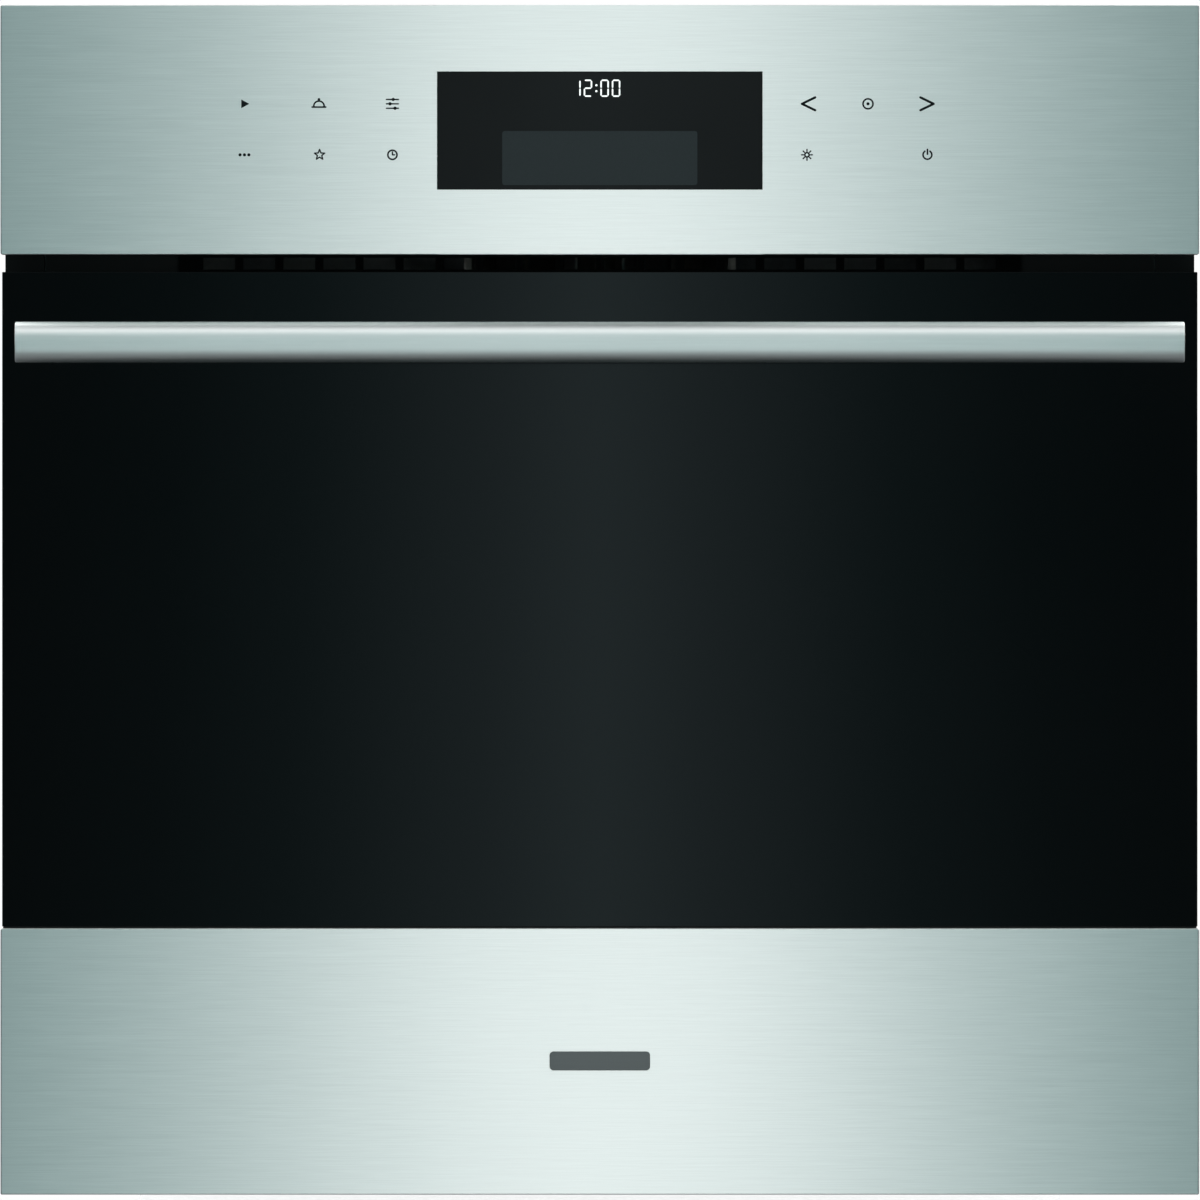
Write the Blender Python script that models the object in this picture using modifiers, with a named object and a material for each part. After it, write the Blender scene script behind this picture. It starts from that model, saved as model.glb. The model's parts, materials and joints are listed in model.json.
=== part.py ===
"""Built-in electric wall oven with a drop-down glass door and a full-width bar handle.

Metres, +Z up. X runs across the oven, the front faces -Y. The origin is the centre of the
underside of the base. The door hangs on an empty on its hinge line, and each rack, tray and
fan has its origin on its own slide or shaft.
"""

import math

import bmesh
import bpy
from mathutils import Matrix, Vector

# Front
WIDTH = 0.5970
GLASS_WIDTH = 0.5954
DOOR_BOTTOM = 0.0034
TRIM_TOP = 0.1361
GLASS_BOTTOM = 0.1369
GLASS_TOP = 0.4630
FASCIA_BOTTOM = 0.4718
FASCIA_TOP = 0.5960
FRONT = -0.2920
DOOR_BACK = -0.2600

# Carcase
FACE = -0.2520
FRAME_FRONT = -0.2540
REAR = 0.2520
BODY_HALF = 0.2770
BODY_BOTTOM = 0.0034
BODY_TOP = 0.5880
FLANGE_HALF = 0.2968
SHEET = 0.0012
GAP = 0.0003

# Cavity, inside measures
CAVITY_HALF = 0.2350
CAVITY_FLOOR = 0.0820
CAVITY_CEILING = 0.4240
CAVITY_MOUTH = -0.2515
CAVITY_BACK = 0.1620
CAVITY_SHEET = 0.0015
CAVITY_CORNER = 0.0120

# Racks
WIRE = 0.0024
LADDER_LEVELS = 5
FIRST_LEVEL = 0.1150
LEVEL_PITCH = 0.0550
LEVEL_SLOT = 0.0140
LADDER_X = 0.2280
LADDER_POST_X = 0.2320
LADDER_POST = 0.0026
RACK_LEVEL = 3
TRAY_LEVEL = 1
RACK_FRONT = -0.2220
RACK_REAR = 0.1120
RACK_HALF = 0.2260
RACK_ROD = 0.0030

# Heat and air
FAN_Z = 0.2530
FAN_RADIUS = 0.0750
ELEMENT = 0.0035
ELEMENT_TERMINAL = 0.2050
RING_RADIUS = 0.0920
RING_Y = 0.1420
GRILL_Z = 0.4080
BAKE_Z = 0.0745
LAMP = (0.1900, 0.1100)
PROBE = (-0.1700, 0.3850)
DUCT_BOTTOM = 0.4615
DUCT_TOP = 0.4815
BLOWER = (0.0, 0.0500)
BLOWER_RADIUS = 0.0700

# Controls
WINDOW_HALF = 0.0811
WINDOW_BOTTOM = 0.5040
WINDOW_TOP = 0.5629
TERMINAL_X = -0.1950
TERMINAL_BOTTOM = 0.5000
TERMINAL_TOP = 0.5650

# Door
HINGE_Y = -0.2800
HINGE_Z = 0.0130
HINGE_X = 0.2470
CLAW_NOSE = 0.0050
CLAW_HALF = 0.0030
PIN = 0.0020
CHANNEL_HALF = 0.0060
CHANNEL_WALL = 0.0015
OUTER_GLASS = 0.0050
HANDLE_Y = -0.3420
HANDLE_Z = 0.4277
HANDLE_RADIUS = 0.0101
HANDLE_LENGTH = 0.5808
POST_X = 0.2500
POST_RADIUS = 0.0075

FINISHES = {
    "brushed_steel": ((0.62, 0.66, 0.65), 0.34, 1.0),
    "galvanised": ((0.50, 0.52, 0.52), 0.45, 1.0),
    "chrome": ((0.78, 0.79, 0.80), 0.12, 1.0),
    "zinc": ((0.55, 0.55, 0.52), 0.35, 1.0),
    "graphite_enamel": ((0.035, 0.037, 0.042), 0.25, 0.0),
    "black_enamel": ((0.012, 0.012, 0.013), 0.30, 0.0),
    "black_glass": ((0.006, 0.007, 0.007), 0.05, 0.0),
    "clear_glass": ((0.70, 0.76, 0.75), 0.03, 0.0),
    "lamp_glass": ((0.85, 0.87, 0.85), 0.15, 0.0),
    "incoloy": ((0.16, 0.15, 0.14), 0.50, 0.8),
    "mineral_wool": ((0.74, 0.71, 0.62), 0.95, 0.0),
    "gasket": ((0.13, 0.13, 0.13), 0.85, 0.0),
    "black_plastic": ((0.018, 0.018, 0.019), 0.50, 0.0),
    "circuit_board": ((0.02, 0.16, 0.06), 0.45, 0.0),
    "cable": ((0.03, 0.03, 0.03), 0.60, 0.0),
    "nameplate": ((0.10, 0.11, 0.11), 0.35, 0.7),
}


# Scene


def new_collection(name):
    made = bpy.data.collections.new(name)
    bpy.context.scene.collection.children.link(made)
    return made


def clear_scene():
    for obj in list(bpy.data.objects):
        bpy.data.objects.remove(obj, do_unlink=True)


def finish(name):
    """The material of this name, made the first time it is asked for."""
    found = bpy.data.materials.get(name)
    if found:
        return found
    colour, roughness, metallic = FINISHES[name]
    made = bpy.data.materials.new(name)
    made.use_nodes = True
    shader = made.node_tree.nodes["Principled BSDF"]
    shader.inputs["Base Color"].default_value = (*colour, 1.0)
    shader.inputs["Roughness"].default_value = roughness
    shader.inputs["Metallic"].default_value = metallic
    made.diffuse_color = (*colour, 1.0)
    return made


def keep_place(child, parent):
    child.parent = parent
    child.matrix_parent_inverse = parent.matrix_world.inverted()


def pivot(name, place):
    empty = bpy.data.objects.new(name, None)
    empty.location = place
    empty.empty_display_size = 0.03
    parts.objects.link(empty)
    bpy.context.view_layer.update()
    return empty


# Shapes: each of these returns a function that adds one closed shape to a bmesh


def box(low, high):
    def add(bm):
        size = Vector(high) - Vector(low)
        middle = (Vector(high) + Vector(low)) / 2
        place = Matrix.Translation(middle) @ Matrix.Diagonal((*size, 1.0))
        return bmesh.ops.create_cube(bm, size=1.0, matrix=place)["verts"]

    return add


def slab(low, high, axis, radius, segments=3):
    """A box with its four edges along one axis rounded."""

    def add(bm):
        verts = box(low, high)(bm)
        edges = {edge for vert in verts for edge in vert.link_edges}
        along = "xyz".index(axis)
        chosen = []
        for edge in edges:
            run = edge.verts[1].co - edge.verts[0].co
            if abs(run[along]) > 0.9 * run.length:
                chosen.append(edge)
        bmesh.ops.bevel(
            bm, geom=chosen, offset=radius, segments=segments, profile=0.5, affect="EDGES"
        )

    return add


def rod(start, end, radius, sides=12):
    def add(bm):
        run = Vector(end) - Vector(start)
        middle = (Vector(end) + Vector(start)) / 2
        turn = run.to_track_quat("Z", "Y").to_matrix().to_4x4()
        bmesh.ops.create_cone(
            bm,
            cap_ends=True,
            segments=sides,
            radius1=radius,
            radius2=radius,
            depth=run.length,
            matrix=Matrix.Translation(middle) @ turn,
        )

    return add


def radial_box(centre, axis, angle, low, high):
    """A box given in a frame whose Z is the axis, turned about it by the angle."""

    def add(bm):
        verts = box(low, high)(bm)
        up = Vector(axis).to_track_quat("Z", "Y").to_matrix().to_4x4()
        place = Matrix.Translation(centre) @ up @ Matrix.Rotation(angle, 4, "Z")
        bmesh.ops.transform(bm, matrix=place, verts=verts)

    return add


# Objects


def smooth(mesh):
    mesh.shade_smooth()
    mesh.set_sharp_from_angle(angle=math.radians(35))


def place_object(name, mesh, collection, material, origin=None):
    """Links a mesh that is in world coordinates, moved so that its origin is where it belongs."""
    if origin is None:
        corners = [v.co for v in mesh.vertices]
        low = Vector(min(c[i] for c in corners) for i in range(3))
        high = Vector(max(c[i] for c in corners) for i in range(3))
        origin = (low + high) / 2
    mesh.transform(Matrix.Translation(-Vector(origin)))
    obj = bpy.data.objects.new(name, mesh)
    obj.location = origin
    if material:
        mesh.materials.append(finish(material))
    collection.objects.link(obj)
    bpy.context.view_layer.update()
    return obj


def solid(name, shapes, material, origin=None):
    """One object made of shapes that don't meet."""
    bm = bmesh.new()
    for add in shapes:
        add(bm)
    mesh = bpy.data.meshes.new(name)
    bm.to_mesh(mesh)
    bm.free()
    smooth(mesh)
    return place_object(name, mesh, parts, material, origin)


def helper(target, shapes, word):
    count = sum(1 for modifier in target.modifiers if modifier.type == "BOOLEAN")
    obj = solid(f"{target.name}_{word}_{count}", shapes, None)
    parts.objects.unlink(obj)
    cutters.objects.link(obj)
    obj.hide_render = True
    obj.display_type = "WIRE"
    keep_place(obj, target)
    return obj


def boolean(target, other, operation):
    modifier = target.modifiers.new(operation.title(), "BOOLEAN")
    modifier.operation = operation
    modifier.object = other


def cut(target, shapes):
    boolean(target, helper(target, shapes, "cut"), "DIFFERENCE")


def join(target, shapes):
    boolean(target, helper(target, shapes, "joined"), "UNION")


def shell(name, low, high, open_side, wall, material, corner=0.0, origin=None):
    """A box with one side left open; its walls lie inside its outer faces."""
    bm = bmesh.new()
    box(low, high)(bm)
    towards = Vector(open_side)
    opened = max(bm.faces, key=lambda face: face.normal.dot(towards))
    bmesh.ops.delete(bm, geom=[opened], context="FACES_ONLY")
    mesh = bpy.data.meshes.new(name)
    bm.to_mesh(mesh)
    bm.free()
    obj = place_object(name, mesh, parts, material, origin)
    if corner:
        rounding = obj.modifiers.new("Corners", "BEVEL")
        rounding.width = corner
        rounding.segments = 3
        rounding.limit_method = "ANGLE"
    skin = obj.modifiers.new("Sheet", "SOLIDIFY")
    skin.thickness = wall
    skin.offset = -1.0
    skin.use_even_offset = True
    return obj


def turned(name, profile, axis, place, steps, material):
    """A profile of (radius, height) pairs turned about an axis that runs through a place."""
    mesh = bpy.data.meshes.new(name)
    points = [(radius, 0.0, height) for radius, height in profile]
    edges = [(i, i + 1) for i in range(len(points) - 1)]
    mesh.from_pydata(points, edges, [])
    mesh.materials.append(finish(material))
    obj = bpy.data.objects.new(name, mesh)
    obj.location = place
    obj.rotation_euler = Vector(axis).to_track_quat("Z", "Y").to_euler()
    parts.objects.link(obj)
    screw = obj.modifiers.new("Turn", "SCREW")
    screw.steps = steps
    screw.render_steps = steps
    screw.use_merge_vertices = True
    screw.merge_threshold = 0.0001
    screw.use_smooth_shade = True
    bpy.context.view_layer.update()
    return obj


def tube(name, points, radius, material, bevel_resolution=2, cyclic=False):
    data = bpy.data.curves.new(name, "CURVE")
    data.dimensions = "3D"
    data.bevel_depth = radius
    data.bevel_resolution = bevel_resolution
    data.use_fill_caps = True
    spline = data.splines.new("POLY")
    spline.points.add(len(points) - 1)
    for target, point in zip(spline.points, points):
        target.co = (*point, 1.0)
    spline.use_cyclic_u = cyclic
    data.materials.append(finish(material))
    obj = bpy.data.objects.new(name, data)
    parts.objects.link(obj)
    return obj


def as_mesh(curve_object):
    """Turns a curve object into a welded mesh object of the same name, place and material."""
    bpy.context.view_layer.update()
    graph = bpy.context.evaluated_depsgraph_get()
    mesh = bpy.data.meshes.new_from_object(curve_object.evaluated_get(graph))
    bm = bmesh.new()
    bm.from_mesh(mesh)
    bmesh.ops.remove_doubles(bm, verts=bm.verts, dist=0.00005)
    bm.to_mesh(mesh)
    bm.free()
    name = curve_object.name
    matrix = curve_object.matrix_world.copy()
    bpy.data.objects.remove(curve_object, do_unlink=True)
    mesh.name = name
    obj = bpy.data.objects.new(name, mesh)
    obj.matrix_world = matrix
    parts.objects.link(obj)
    bpy.context.view_layer.update()
    return obj


def outline(name, loops, thickness, centre, facing, material):
    """A flat plate of closed outlines, the later ones holes; it faces along Y or along X."""
    data = bpy.data.curves.new(name, "CURVE")
    data.dimensions = "2D"
    data.fill_mode = "BOTH"
    data.extrude = thickness / 2
    for loop in loops:
        spline = data.splines.new("POLY")
        spline.points.add(len(loop) - 1)
        for target, (across, up) in zip(spline.points, loop):
            target.co = (across, up, 0.0, 1.0)
        spline.use_cyclic_u = True
    data.materials.append(finish(material))
    obj = bpy.data.objects.new(name, data)
    obj.location = centre
    spin = math.pi / 2 if facing == "x" else 0.0
    obj.rotation_euler = (math.pi / 2, 0.0, spin)
    parts.objects.link(obj)
    return obj


# Curves worked out by formula


def arc(centre, radius, start, end, steps):
    """Points of a flat arc; the angles are in degrees."""
    points = []
    for i in range(steps + 1):
        angle = math.radians(start + (end - start) * i / steps)
        across = centre[0] + radius * math.cos(angle)
        up = centre[1] + radius * math.sin(angle)
        points.append((across, up))
    return points


def rounded_rectangle(half, low, high, radius, steps=3):
    points = []
    points += arc((half - radius, low + radius), radius, -90, 0, steps)
    points += arc((half - radius, high - radius), radius, 0, 90, steps)
    points += arc((radius - half, high - radius), radius, 90, 180, steps)
    points += arc((radius - half, low + radius), radius, 180, 270, steps)
    return points


def smooth_route(knots, steps):
    """A Catmull-Rom curve through the knots."""
    guides = [Vector(knots[0]), *map(Vector, knots), Vector(knots[-1])]
    points = []
    for a, b, c, d in zip(guides, guides[1:], guides[2:], guides[3:]):
        for i in range(steps):
            t = i / steps
            points.append(
                0.5
                * (
                    2 * b
                    + (c - a) * t
                    + (2 * a - 5 * b + 4 * c - d) * t**2
                    + (3 * b - a - 3 * c + d) * t**3
                )
            )
    points.append(Vector(knots[-1]))
    return points


def hairpins(half, front, rear, height, runs, lead, terminal):
    """A heating rod that snakes from side to side and ends in two legs to the rear.

    The right half is worked out and mirrored, so both legs leave at the same height.
    """
    pitch = half / runs
    bend = pitch / 2
    right = [(lead, terminal), (lead, rear - bend)]
    x = lead
    at_rear = True
    while x + pitch <= half:
        side = rear - bend if at_rear else front + bend
        turn = (180, 0) if at_rear else (180, 360)
        right += arc((x + bend, side), bend, *turn, 4)
        x += pitch
        at_rear = not at_rear
    far = front if at_rear else rear
    right.append((x, far))
    left = [(-across, along) for across, along in right]
    flat = right + left[::-1]
    return [(across, along, height) for across, along in flat]


# Carcase


def base_panel():
    tray = shell(
        "base_panel",
        (-0.2755, -0.2490, BODY_BOTTOM),
        (0.2755, 0.2495, 0.0200),
        (0, 0, 1),
        SHEET,
        "galvanised",
    )
    notches = []
    for side in (-1, 1):
        middle = side * HINGE_X
        notches.append(box((middle - 0.0060, -0.2600, 0.0048), (middle + 0.0060, -0.2400, 0.0300)))
    cut(tray, notches)


def side_panel(name, side):
    inner = side * (BODY_HALF - SHEET)
    outer = side * BODY_HALF
    low = (min(inner, outer), -0.2515, BODY_BOTTOM)
    high = (max(inner, outer), REAR - SHEET - GAP, BODY_TOP - SHEET - GAP)
    panel = solid(name, [box(low, high)], "galvanised")
    slots = []
    for row in range(4):
        height = 0.5000 + 0.0180 * row
        for start in (0.0300, 0.1200):
            slots.append(
                box((outer - 0.01, start, height), (outer + 0.01, start + 0.0600, height + 0.0040))
            )
    cut(panel, slots)


def top_cover():
    low = (-BODY_HALF, -0.2515, BODY_TOP - SHEET)
    high = (BODY_HALF, REAR - SHEET - GAP, BODY_TOP)
    cover = solid("top_cover", [box(low, high)], "galvanised")
    slots = []
    for row in range(3):
        start = 0.1500 + 0.0180 * row
        for middle in (-0.1500, 0.0, 0.1500):
            slots.append(
                box((middle - 0.0450, start, 0.57), (middle + 0.0450, start + 0.0050, 0.60))
            )
    cut(cover, slots)


def rear_panel():
    low = (-BODY_HALF, REAR - SHEET, BODY_BOTTOM)
    high = (BODY_HALF, REAR, BODY_TOP)
    panel = solid("rear_panel", [box(low, high)], "galvanised")
    slots = []
    for row in range(7):
        height = FAN_Z - 0.0480 + 0.0150 * row
        for side in (-1, 1):
            middle = side * 0.0350
            slots.append(
                box((middle - 0.0280, 0.24, height), (middle + 0.0280, 0.26, height + 0.0050))
            )
    middle_z = (TERMINAL_BOTTOM + TERMINAL_TOP) / 2
    slots.append(rod((TERMINAL_X, 0.24, middle_z), (TERMINAL_X, 0.26, middle_z), 0.0090))
    cut(panel, slots)


def front_frame():
    low = (-0.2768, FRAME_FRONT, BODY_BOTTOM + 0.0010)
    high = (0.2768, FACE, BODY_TOP)
    frame = solid("front_frame", [box(low, high)], "black_enamel")
    mouth = slab(
        (-CAVITY_HALF, -0.26, CAVITY_FLOOR),
        (CAVITY_HALF, -0.24, CAVITY_CEILING),
        "y",
        CAVITY_CORNER,
    )
    air_slot = box((-0.2000, -0.26, 0.4630), (0.2000, -0.24, DUCT_TOP - 0.0015))
    holes = [mouth, air_slot]
    for side in (-1, 1):
        middle = side * HINGE_X
        holes.append(box((middle - 0.0045, -0.26, 0.0060), (middle + 0.0045, -0.24, 0.0200)))
    cut(frame, holes)


def mount_flange(name, side):
    """An L strip: its leg is fixed to the side panel, its wing lies against the cabinet."""
    leg_inner = BODY_HALF + GAP
    leg_outer = leg_inner + SHEET

    def across(near, far):
        return sorted((side * near, side * far))

    x0, x1 = across(leg_inner, leg_outer)
    y0 = FACE - 0.0015
    strip = solid(name, [box((x0, y0, 0.0060), (x1, -0.2150, BODY_TOP))], "black_enamel")
    x0, x1 = across(leg_inner + 0.0001, FLANGE_HALF)
    join(strip, [box((x0, y0, 0.0060), (x1, FACE, BODY_TOP))])
    screw_x = side * (leg_outer + FLANGE_HALF) / 2
    holes = []
    for height in (0.0900, 0.2970, 0.5040):
        holes.append(rod((screw_x, -0.26, height), (screw_x, -0.24, height), 0.0025))
    cut(strip, holes)


def cavity():
    wall = CAVITY_SHEET
    body = shell(
        "cavity",
        (-CAVITY_HALF - wall, CAVITY_MOUTH, CAVITY_FLOOR - wall),
        (CAVITY_HALF + wall, CAVITY_BACK + wall, CAVITY_CEILING + wall),
        (0, -1, 0),
        wall,
        "graphite_enamel",
        corner=CAVITY_CORNER + wall,
    )
    rim = slab((-0.2520, CAVITY_MOUTH, 0.0660), (0.2520, CAVITY_MOUTH + wall, 0.4400), "y", 0.0200)
    join(body, [rim])
    step = 0.0004
    mouth = slab(
        (-CAVITY_HALF - step, -0.26, CAVITY_FLOOR - step),
        (CAVITY_HALF + step, CAVITY_MOUTH + 2 * wall, CAVITY_CEILING + step),
        "y",
        CAVITY_CORNER,
    )
    cut(body, [mouth])
    cut(body, through_rear(0.0015) + through_ceiling(0.0))


def through_rear(clearance):
    """Holes for what passes the rear wall: the fan's shaft, heater legs and the probe."""
    low, high = 0.1400, 0.2300
    holes = [rod((0, low, FAN_Z), (0, high, FAN_Z), 0.0070 + clearance)]
    places = [PROBE]
    places += [(side * 0.0300, GRILL_Z) for side in (-1, 1)]
    places += [(side * RING_LEG, RING_LEG_Z) for side in (-1, 1)]
    for x, z in places:
        holes.append(rod((x, low, z), (x, high, z), ELEMENT + 0.0010 + clearance, 8))
    return holes


def through_ceiling(clearance):
    """Holes for the lamp and for the steam outlet."""
    lamp = rod((*LAMP, 0.4150), (*LAMP, 0.4700), 0.0235 + clearance, 16)
    outlet = rod((-0.1000, 0.0, 0.4150), (-0.1000, 0.0, 0.4700), 0.0120, 12)
    return [lamp, outlet]


def insulation():
    blanket = shell(
        "insulation_wrap",
        (-0.2700, -0.2400, 0.0395),
        (0.2700, 0.1940, 0.4560),
        (0, -1, 0),
        0.0300,
        "mineral_wool",
    )
    low, high = 0.1500, 0.2300
    bake_legs = []
    for side in (-1, 1):
        x = side * 0.0300
        bake_legs.append(rod((x, low, BAKE_Z), (x, high, BAKE_Z), ELEMENT + 0.0015, 8))
    cut(blanket, through_rear(0.0030) + through_ceiling(0.0085) + bake_legs)


def gasket():
    loops = [
        rounded_rectangle(0.2485, 0.0685, 0.4375, 0.0250),
        rounded_rectangle(0.2385, 0.0785, 0.4275, 0.0150),
    ]
    front = DOOR_BACK + GAP
    back = FRAME_FRONT - GAP
    outline("cavity_gasket", loops, back - front, (0, (front + back) / 2, 0), "y", "gasket")


# Heating, fans and lamp


RING_LEG = RING_RADIUS * math.sin(math.radians(8))
RING_LEG_Z = FAN_Z - RING_RADIUS * math.cos(math.radians(8))


def elements():
    grill = hairpins(0.1700, -0.1950, 0.1000, GRILL_Z, 3.4, 0.0300, ELEMENT_TERMINAL)
    tube("grill_element", grill, ELEMENT, "incoloy", 1)
    bake = hairpins(0.1900, -0.2000, 0.1200, BAKE_Z, 3.8, 0.0300, ELEMENT_TERMINAL)
    tube("bake_element", bake, ELEMENT, "incoloy", 1)
    turn = arc((0, FAN_Z), RING_RADIUS, -82, 262, 28)
    ring = [(RING_LEG, ELEMENT_TERMINAL, RING_LEG_Z)]
    ring += [(x, RING_Y, z) for x, z in turn]
    ring += [(-RING_LEG, ELEMENT_TERMINAL, RING_LEG_Z)]
    tube("ring_element", ring, ELEMENT, "incoloy", 1)


def fan_baffle():
    cover = shell(
        "fan_baffle",
        (-0.1220, 0.1220, FAN_Z - 0.1180),
        (0.1220, CAVITY_BACK - 0.0005, FAN_Z + 0.1180),
        (0, 1, 0),
        0.0010,
        "graphite_enamel",
        corner=0.0080,
    )
    slots = []
    blades = 14
    for i in range(blades):
        angle = 2 * math.pi * i / blades
        slots.append(
            radial_box(
                (0, 0.1220, FAN_Z), (0, 1, 0), angle, (0.0160, -0.0025, -0.01), (0.0500, 0.0025, 0.01)
            )
        )
    for side in (-1, 1):
        for row in range(5):
            low = FAN_Z - 0.0840 + 0.0350 * row
            slots.append(
                box((side * 0.1220 - 0.01, 0.1380, low), (side * 0.1220 + 0.01, 0.1520, low + 0.0260))
            )
    cut(cover, slots)


def convection_fan():
    hub = [
        (0.0, 0.0090),
        (0.0100, 0.0090),
        (0.0120, 0.0070),
        (0.0120, -0.0140),
        (FAN_RADIUS - 0.003, -0.0140),
        (FAN_RADIUS - 0.003, -0.0152),
        (0.0120, -0.0152),
        (0.0120, -0.0170),
        (0.0, -0.0170),
    ]
    wheel = turned("convection_fan", hub, (0, -1, 0), (0, 0.1360, FAN_Z), 24, "zinc")
    blades = []
    count = 8
    for i in range(count):
        angle = 2 * math.pi * i / count
        blades.append(
            radial_box(
                (0, 0.1360, FAN_Z),
                (0, -1, 0),
                angle,
                (0.0400, -0.0006, -0.0143),
                (FAN_RADIUS - 0.004, 0.0006, 0.0060),
            )
        )
    join(wheel, blades)


def convection_motor():
    shaft_end = 0.1360 + 0.0170 + GAP
    profile = [
        (0.0, 0.2360),
        (0.0240, 0.2360),
        (0.0320, 0.2300),
        (0.0320, 0.2010),
        (0.0040, 0.2010),
        (0.0040, shaft_end),
        (0.0, shaft_end),
    ]
    motor = turned("convection_motor", profile, (0, 1, 0), (0, 0, FAN_Z), 16, "zinc")
    plate = slab((-0.0480, 0.1950, FAN_Z - 0.0300), (0.0480, 0.2020, FAN_Z + 0.0300), "y", 0.0080, 2)
    join(motor, [plate])


def lamp():
    x, y = LAMP
    housing = [
        (0.0, 0.4600),
        (0.0270, 0.4600),
        (0.0290, 0.4580),
        (0.0290, 0.4258),
        (0.0280, 0.4258),
        (0.0280, 0.4575),
        (0.0090, 0.4585),
        (0.0090, 0.4480),
        (0.0, 0.4480),
    ]
    turned("lamp_housing", housing, (0, 0, 1), (x, y, 0), 16, "galvanised")
    bulb = [
        (0.0, 0.4477),
        (0.0055, 0.4477),
        (0.0060, 0.4400),
        (0.0060, 0.4270),
        (0.0040, 0.4225),
        (0.0, 0.4205),
    ]
    turned("lamp_bulb", bulb, (0, 0, 1), (x, y, 0), 12, "lamp_glass")
    lens = [
        (0.0, 0.4145),
        (0.0140, 0.4155),
        (0.0210, 0.4195),
        (0.0225, 0.4237),
        (0.0285, 0.4237),
        (0.0285, 0.4200),
        (0.0245, 0.4165),
        (0.0160, 0.4125),
        (0.0, 0.4115),
    ]
    turned("lamp_lens", lens, (0, 0, 1), (x, y, 0), 16, "lamp_glass")


def temperature_probe():
    x, z = PROBE
    profile = [
        (0.0, 0.2020),
        (0.0060, 0.2020),
        (0.0060, 0.1945),
        (0.0025, 0.1945),
        (0.0025, 0.1180),
        (0.0, 0.1155),
    ]
    turned("temperature_probe", profile, (0, 1, 0), (x, 0, z), 10, "chrome")


# Racks


def ladder(name, side):
    """Two posts and a pair of wires for each level, between which a rack's edge slides."""
    x = side * LADDER_X
    post_x = side * LADDER_POST_X
    posts = []
    for y in (-0.2050, 0.1050):
        posts.append(rod((post_x, y, 0.0980), (post_x, y, 0.3680), LADDER_POST, 8))
    frame = solid(name, posts, "chrome")
    wires = []
    for level in range(LADDER_LEVELS):
        for height in (level_z(level), level_z(level) + LEVEL_SLOT):
            wires.append(rod((x, -0.2280, height), (x, 0.1180, height), WIRE, 6))
    join(frame, wires)


def level_z(level):
    return FIRST_LEVEL + LEVEL_PITCH * level


def wire_rack():
    z = level_z(RACK_LEVEL) + WIRE + RACK_ROD + GAP
    half = RACK_HALF
    middle = (RACK_FRONT + RACK_REAR) / 2
    corners = rounded_rectangle(half, RACK_FRONT - middle, RACK_REAR - middle, 0.0150, 3)
    points = [(across, along, 0.0) for across, along in corners]
    rim = tube("wire_rack", points, RACK_ROD, "chrome", 1, cyclic=True)
    rim.location = (0, middle, z)
    rack = as_mesh(rim)
    count = 13
    spacing = 0.0330
    bars = []
    for i in range(count):
        x = spacing * (i - (count - 1) / 2)
        bars.append(rod((x, RACK_FRONT, z), (x, RACK_REAR, z), 0.0018, 6))
    join(rack, bars)


def baking_tray():
    rim_low = level_z(TRAY_LEVEL) + WIRE + GAP
    rim_high = rim_low + RACK_ROD
    tray = shell(
        "baking_tray",
        (-0.2185, RACK_FRONT + 0.0100, rim_high - 0.0280),
        (0.2185, RACK_REAR - 0.0100, rim_high),
        (0, 0, 1),
        CAVITY_SHEET,
        "graphite_enamel",
        corner=0.0120,
    )
    rim = slab(
        (-RACK_HALF - 0.0020, RACK_FRONT, rim_low), (RACK_HALF + 0.0020, RACK_REAR, rim_high), "z", 0.0140
    )
    join(tray, [rim])
    inside = slab(
        (-0.2170, RACK_FRONT + 0.0115, rim_low - 0.0010),
        (0.2170, RACK_REAR - 0.0115, rim_high + 0.01),
        "z",
        0.0105,
    )
    cut(tray, [inside])


# Cooling


def air_duct():
    duct = shell(
        "air_duct",
        (-0.2050, -0.2510, DUCT_BOTTOM),
        (0.2050, 0.1500, DUCT_TOP),
        (0, -1, 0),
        0.0010,
        "galvanised",
    )
    intake = rod((*BLOWER, DUCT_TOP - 0.005), (*BLOWER, DUCT_TOP + 0.01), 0.0450, 24)
    cut(duct, [intake])


def cooling_fan_wheel():
    profile = [
        (0.0, 0.0140),
        (0.0100, 0.0140),
        (0.0120, 0.0010),
        (BLOWER_RADIUS, 0.0010),
        (BLOWER_RADIUS, 0.0),
        (0.0, 0.0),
    ]
    place = (*BLOWER, DUCT_BOTTOM + 0.0025)
    wheel = turned("cooling_fan_wheel", profile, (0, 0, 1), place, 24, "galvanised")
    blades = []
    count = 18
    for i in range(count):
        angle = 2 * math.pi * i / count
        blades.append(
            radial_box(place, (0, 0, 1), angle, (0.0480, -0.0006, 0.0005), (0.0690, 0.0006, 0.0140))
        )
    join(wheel, blades)


def cooling_fan_motor():
    hub_top = DUCT_BOTTOM + 0.0025 + 0.0140
    can = DUCT_TOP + 0.0045
    profile = [
        (0.0, can + 0.0400),
        (0.0250, can + 0.0400),
        (0.0300, can + 0.0350),
        (0.0300, can),
        (0.0030, can),
        (0.0030, hub_top + GAP),
        (0.0, hub_top + GAP),
    ]
    motor = turned("cooling_fan_motor", profile, (0, 0, 1), (*BLOWER, 0), 16, "zinc")
    arms = []
    feet = []
    for i in range(3):
        angle = 2 * math.pi * i / 3
        at = (*BLOWER, 0)
        arms.append(
            radial_box(
                at, (0, 0, 1), angle, (0.0200, -0.0060, can + 0.0005), (0.0620, 0.0060, can + 0.0030)
            )
        )
        feet.append(
            radial_box(
                at, (0, 0, 1), angle, (0.0520, -0.0055, DUCT_TOP + GAP), (0.0615, 0.0055, can + 0.0015)
            )
        )
    join(motor, arms)
    join(motor, feet)


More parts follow.
